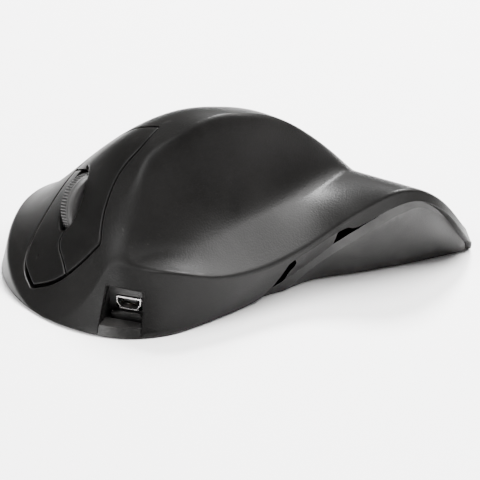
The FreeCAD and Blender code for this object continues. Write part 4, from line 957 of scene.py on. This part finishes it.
def clearLens(name):
    # clear plastic that lets nine tenths through, smeared here and there
    material, tree, shader, place = startMaterial(name)
    dirt = placeGroup(tree, handling, {"Vector": place})
    tree.links.new(remap(tree, dirt["Smear"], 0.0, 1.0, 0.03, 0.12), shader.inputs["Roughness"])
    tree.links.new(mixColour(tree, dirt["Patch"], (0.9, 0.93, 0.93, 1), (0.86, 0.9, 0.9, 1)),
                   shader.inputs["Base Color"])
    shader.inputs["Transmission Weight"].default_value = 0.9
    shader.inputs["IOR"].default_value = 1.49
    return material


def paleFloor(name):
    # matt paper with a slow change of tone and roughness
    material, tree, shader, place = startMaterial(name)
    paper = put(tree, "ShaderNodeTexNoise", {"Vector": place, "Scale": 60.0, "Detail": 4.0})
    tree.links.new(mixColour(tree, paper.outputs[0], (0.93, 0.925, 0.925, 1), (0.95, 0.945, 0.945, 1)),
                   shader.inputs["Base Color"])
    tree.links.new(remap(tree, paper.outputs[0], 0.3, 0.7, 0.75, 0.85), shader.inputs["Roughness"])
    return material


def shade(colour, secondColour, wornColour, roughness, grainScale, bump, **more):
    values = {"colour": colour, "secondColour": secondColour, "wornColour": wornColour, "roughness": roughness,
              "roughVary": 0.03, "smear": 0.04, "grainScale": grainScale, "bump": bump, "bumpDepth": 0.00006}
    values.update(more)
    return values


plasticFinishes = {
    "shell_plastic": shade(grey(0.0035, 0.04), grey(0.0050, 0.04), grey(0.025, 0.03), 0.42, 2100.0, 0.5,
                           ior=1.22),
    "button_plastic": shade(grey(0.0030, 0.04), grey(0.0045, 0.04), grey(0.025, 0.03), 0.38, 2300.0, 0.4,
                            smear=0.06, ior=1.22),
    "base_plastic": shade(grey(0.005, 0.04), grey(0.007, 0.04), grey(0.03, 0.03), 0.42, 2100.0, 0.4, ior=1.4),
    "wheel_rubber": shade(grey(0.016, 0.02), grey(0.021, 0.02), grey(0.05, 0.02), 0.56, 3200.0, 0.3, dust=0.5),
    "hub_plastic": shade(grey(0.03), grey(0.035), grey(0.06), 0.4, 1800.0, 0.2),
    "frame_plastic": shade(grey(0.05), grey(0.06), grey(0.1), 0.45, 1600.0, 0.25),
    "encoder_plastic": shade((0.02, 0.1, 0.05, 1), (0.025, 0.12, 0.06, 1), (0.05, 0.18, 0.1, 1), 0.4, 1500.0,
                             0.2),
    "switch_plastic": shade(grey(0.02), grey(0.024), grey(0.05), 0.42, 1500.0, 0.2),
    "plunger_plastic": shade(grey(0.6, 0.04), grey(0.64, 0.04), grey(0.7), 0.38, 1500.0, 0.15),
    "chip_plastic": shade(grey(0.018), grey(0.022), grey(0.05), 0.5, 2600.0, 0.3),
    "plug_plastic": shade(grey(0.62, 0.05), grey(0.66, 0.05), grey(0.75), 0.4, 1500.0, 0.15),
    "cell_wrap": shade((0.03, 0.1, 0.25, 1), (0.035, 0.12, 0.28, 1), (0.1, 0.2, 0.4, 1), 0.3, 600.0, 0.2),
    "slider_plastic": shade(grey(0.3), grey(0.33), grey(0.45), 0.42, 1500.0, 0.2),
    "foot": shade(grey(0.09), grey(0.11), grey(0.2), 0.5, 700.0, 0.2, wear=0.8),
}
metalFinishes = {
    "steel": {"colour": grey(0.52, 0.02), "secondColour": grey(0.6, 0.02), "creviceColour": grey(0.2),
              "roughness": 0.3, "lineScale": 2600.0},
    "shield": {"colour": grey(0.6), "secondColour": grey(0.68), "creviceColour": grey(0.3), "roughness": 0.35,
               "lineScale": 1500.0},
    "can": {"colour": grey(0.62), "secondColour": grey(0.7), "creviceColour": grey(0.3), "roughness": 0.3,
            "lineScale": 1800.0},
    "contact": {"colour": (0.75, 0.55, 0.2, 1), "secondColour": (0.8, 0.6, 0.25, 1),
                "creviceColour": (0.3, 0.2, 0.08, 1), "roughness": 0.25, "lineScale": 3000.0},
}
finishes = {slot: mouldedPlastic(slot, finish) for slot, finish in plasticFinishes.items()}
finishes.update({slot: metal(slot, finish) for slot, finish in metalFinishes.items()})
finishes["board"] = solderMask("board")
finishes["lens"] = clearLens("lens")


def dress(piece, slot):
    piece.data.materials.clear()
    piece.data.materials.append(finishes[slot])


for entry in frame["record"]["subparts"]:
    node = frame["nodes"][entry["node"]]
    node.material_slots[0].material = finishes[entry["material_slot"]]
for piece in (upper, leftButton, rightButton, tyrePiece):
    dress(piece, piece["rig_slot"])

view = {"azimuth": 45.0, "elevation": 26.0, "distance": 520.0, "target": (22.5, -18.0, 20.0),
        "focalPixels": 1735.0, "imagePixels": 480.0, "rise": -6.5}


def placeCamera():
    azimuth, elevation = math.radians(view["azimuth"]), math.radians(view["elevation"])
    back = np.array([math.sin(azimuth) * math.cos(elevation), -math.cos(azimuth) * math.cos(elevation),
                     math.sin(elevation)])
    place = (np.array(view["target"]) + back * view["distance"]) * toMetres
    data = bpy.data.cameras.new("camera")
    data.sensor_width = 36.0
    data.lens = data.sensor_width * view["focalPixels"] / view["imagePixels"]
    data.shift_y = view["rise"] / view["imagePixels"]
    data.clip_start = 0.01
    camera = bpy.data.objects.new("camera", data)
    camera.location = place
    camera.rotation_euler = (math.pi / 2 - elevation, 0, azimuth)
    bpy.context.scene.collection.objects.link(camera)
    bpy.context.scene.camera = camera


def areaLight(name, place, aim, width, power, colour):
    data = bpy.data.lights.new(name, "AREA")
    data.shape = "DISK"
    data.size = width
    data.energy = power
    data.color = colour
    light = bpy.data.objects.new(name, data)
    light.location = place
    towards = Vector(aim) - Vector(place)
    light.rotation_euler = towards.to_track_quat("-Z", "Y").to_euler()
    bpy.context.scene.collection.objects.link(light)


placeCamera()

floorMesh = bpy.data.meshes.new("floor")
floorMesh.from_pydata([(-3, -3, 0), (3, -3, 0), (3, 3, 0), (-3, 3, 0)], [], [(0, 1, 2, 3)])
floor = bpy.data.objects.new("floor", floorMesh)
bpy.context.scene.collection.objects.link(floor)
floorMesh.materials.append(paleFloor("floor"))

world = bpy.data.worlds.new("studio")
world.use_nodes = True
world.node_tree.nodes["Background"].inputs["Color"].default_value = (1.0, 0.985, 0.98, 1.0)
world.node_tree.nodes["Background"].inputs["Strength"].default_value = 0.3
bpy.context.scene.world = world
areaLight("key", (-0.35, 0.55, 0.95), (0, 0, 0.03), 0.35, 48, (1, 1, 1))
areaLight("front", (-0.2, -1.1, 0.9), (0, 0, 0.02), 0.5, 17, (1, 1, 1))
areaLight("above", (0.5, 0.5, 1.5), (0.1, 0, 0), 1.3, 104, (1, 0.99, 0.985))
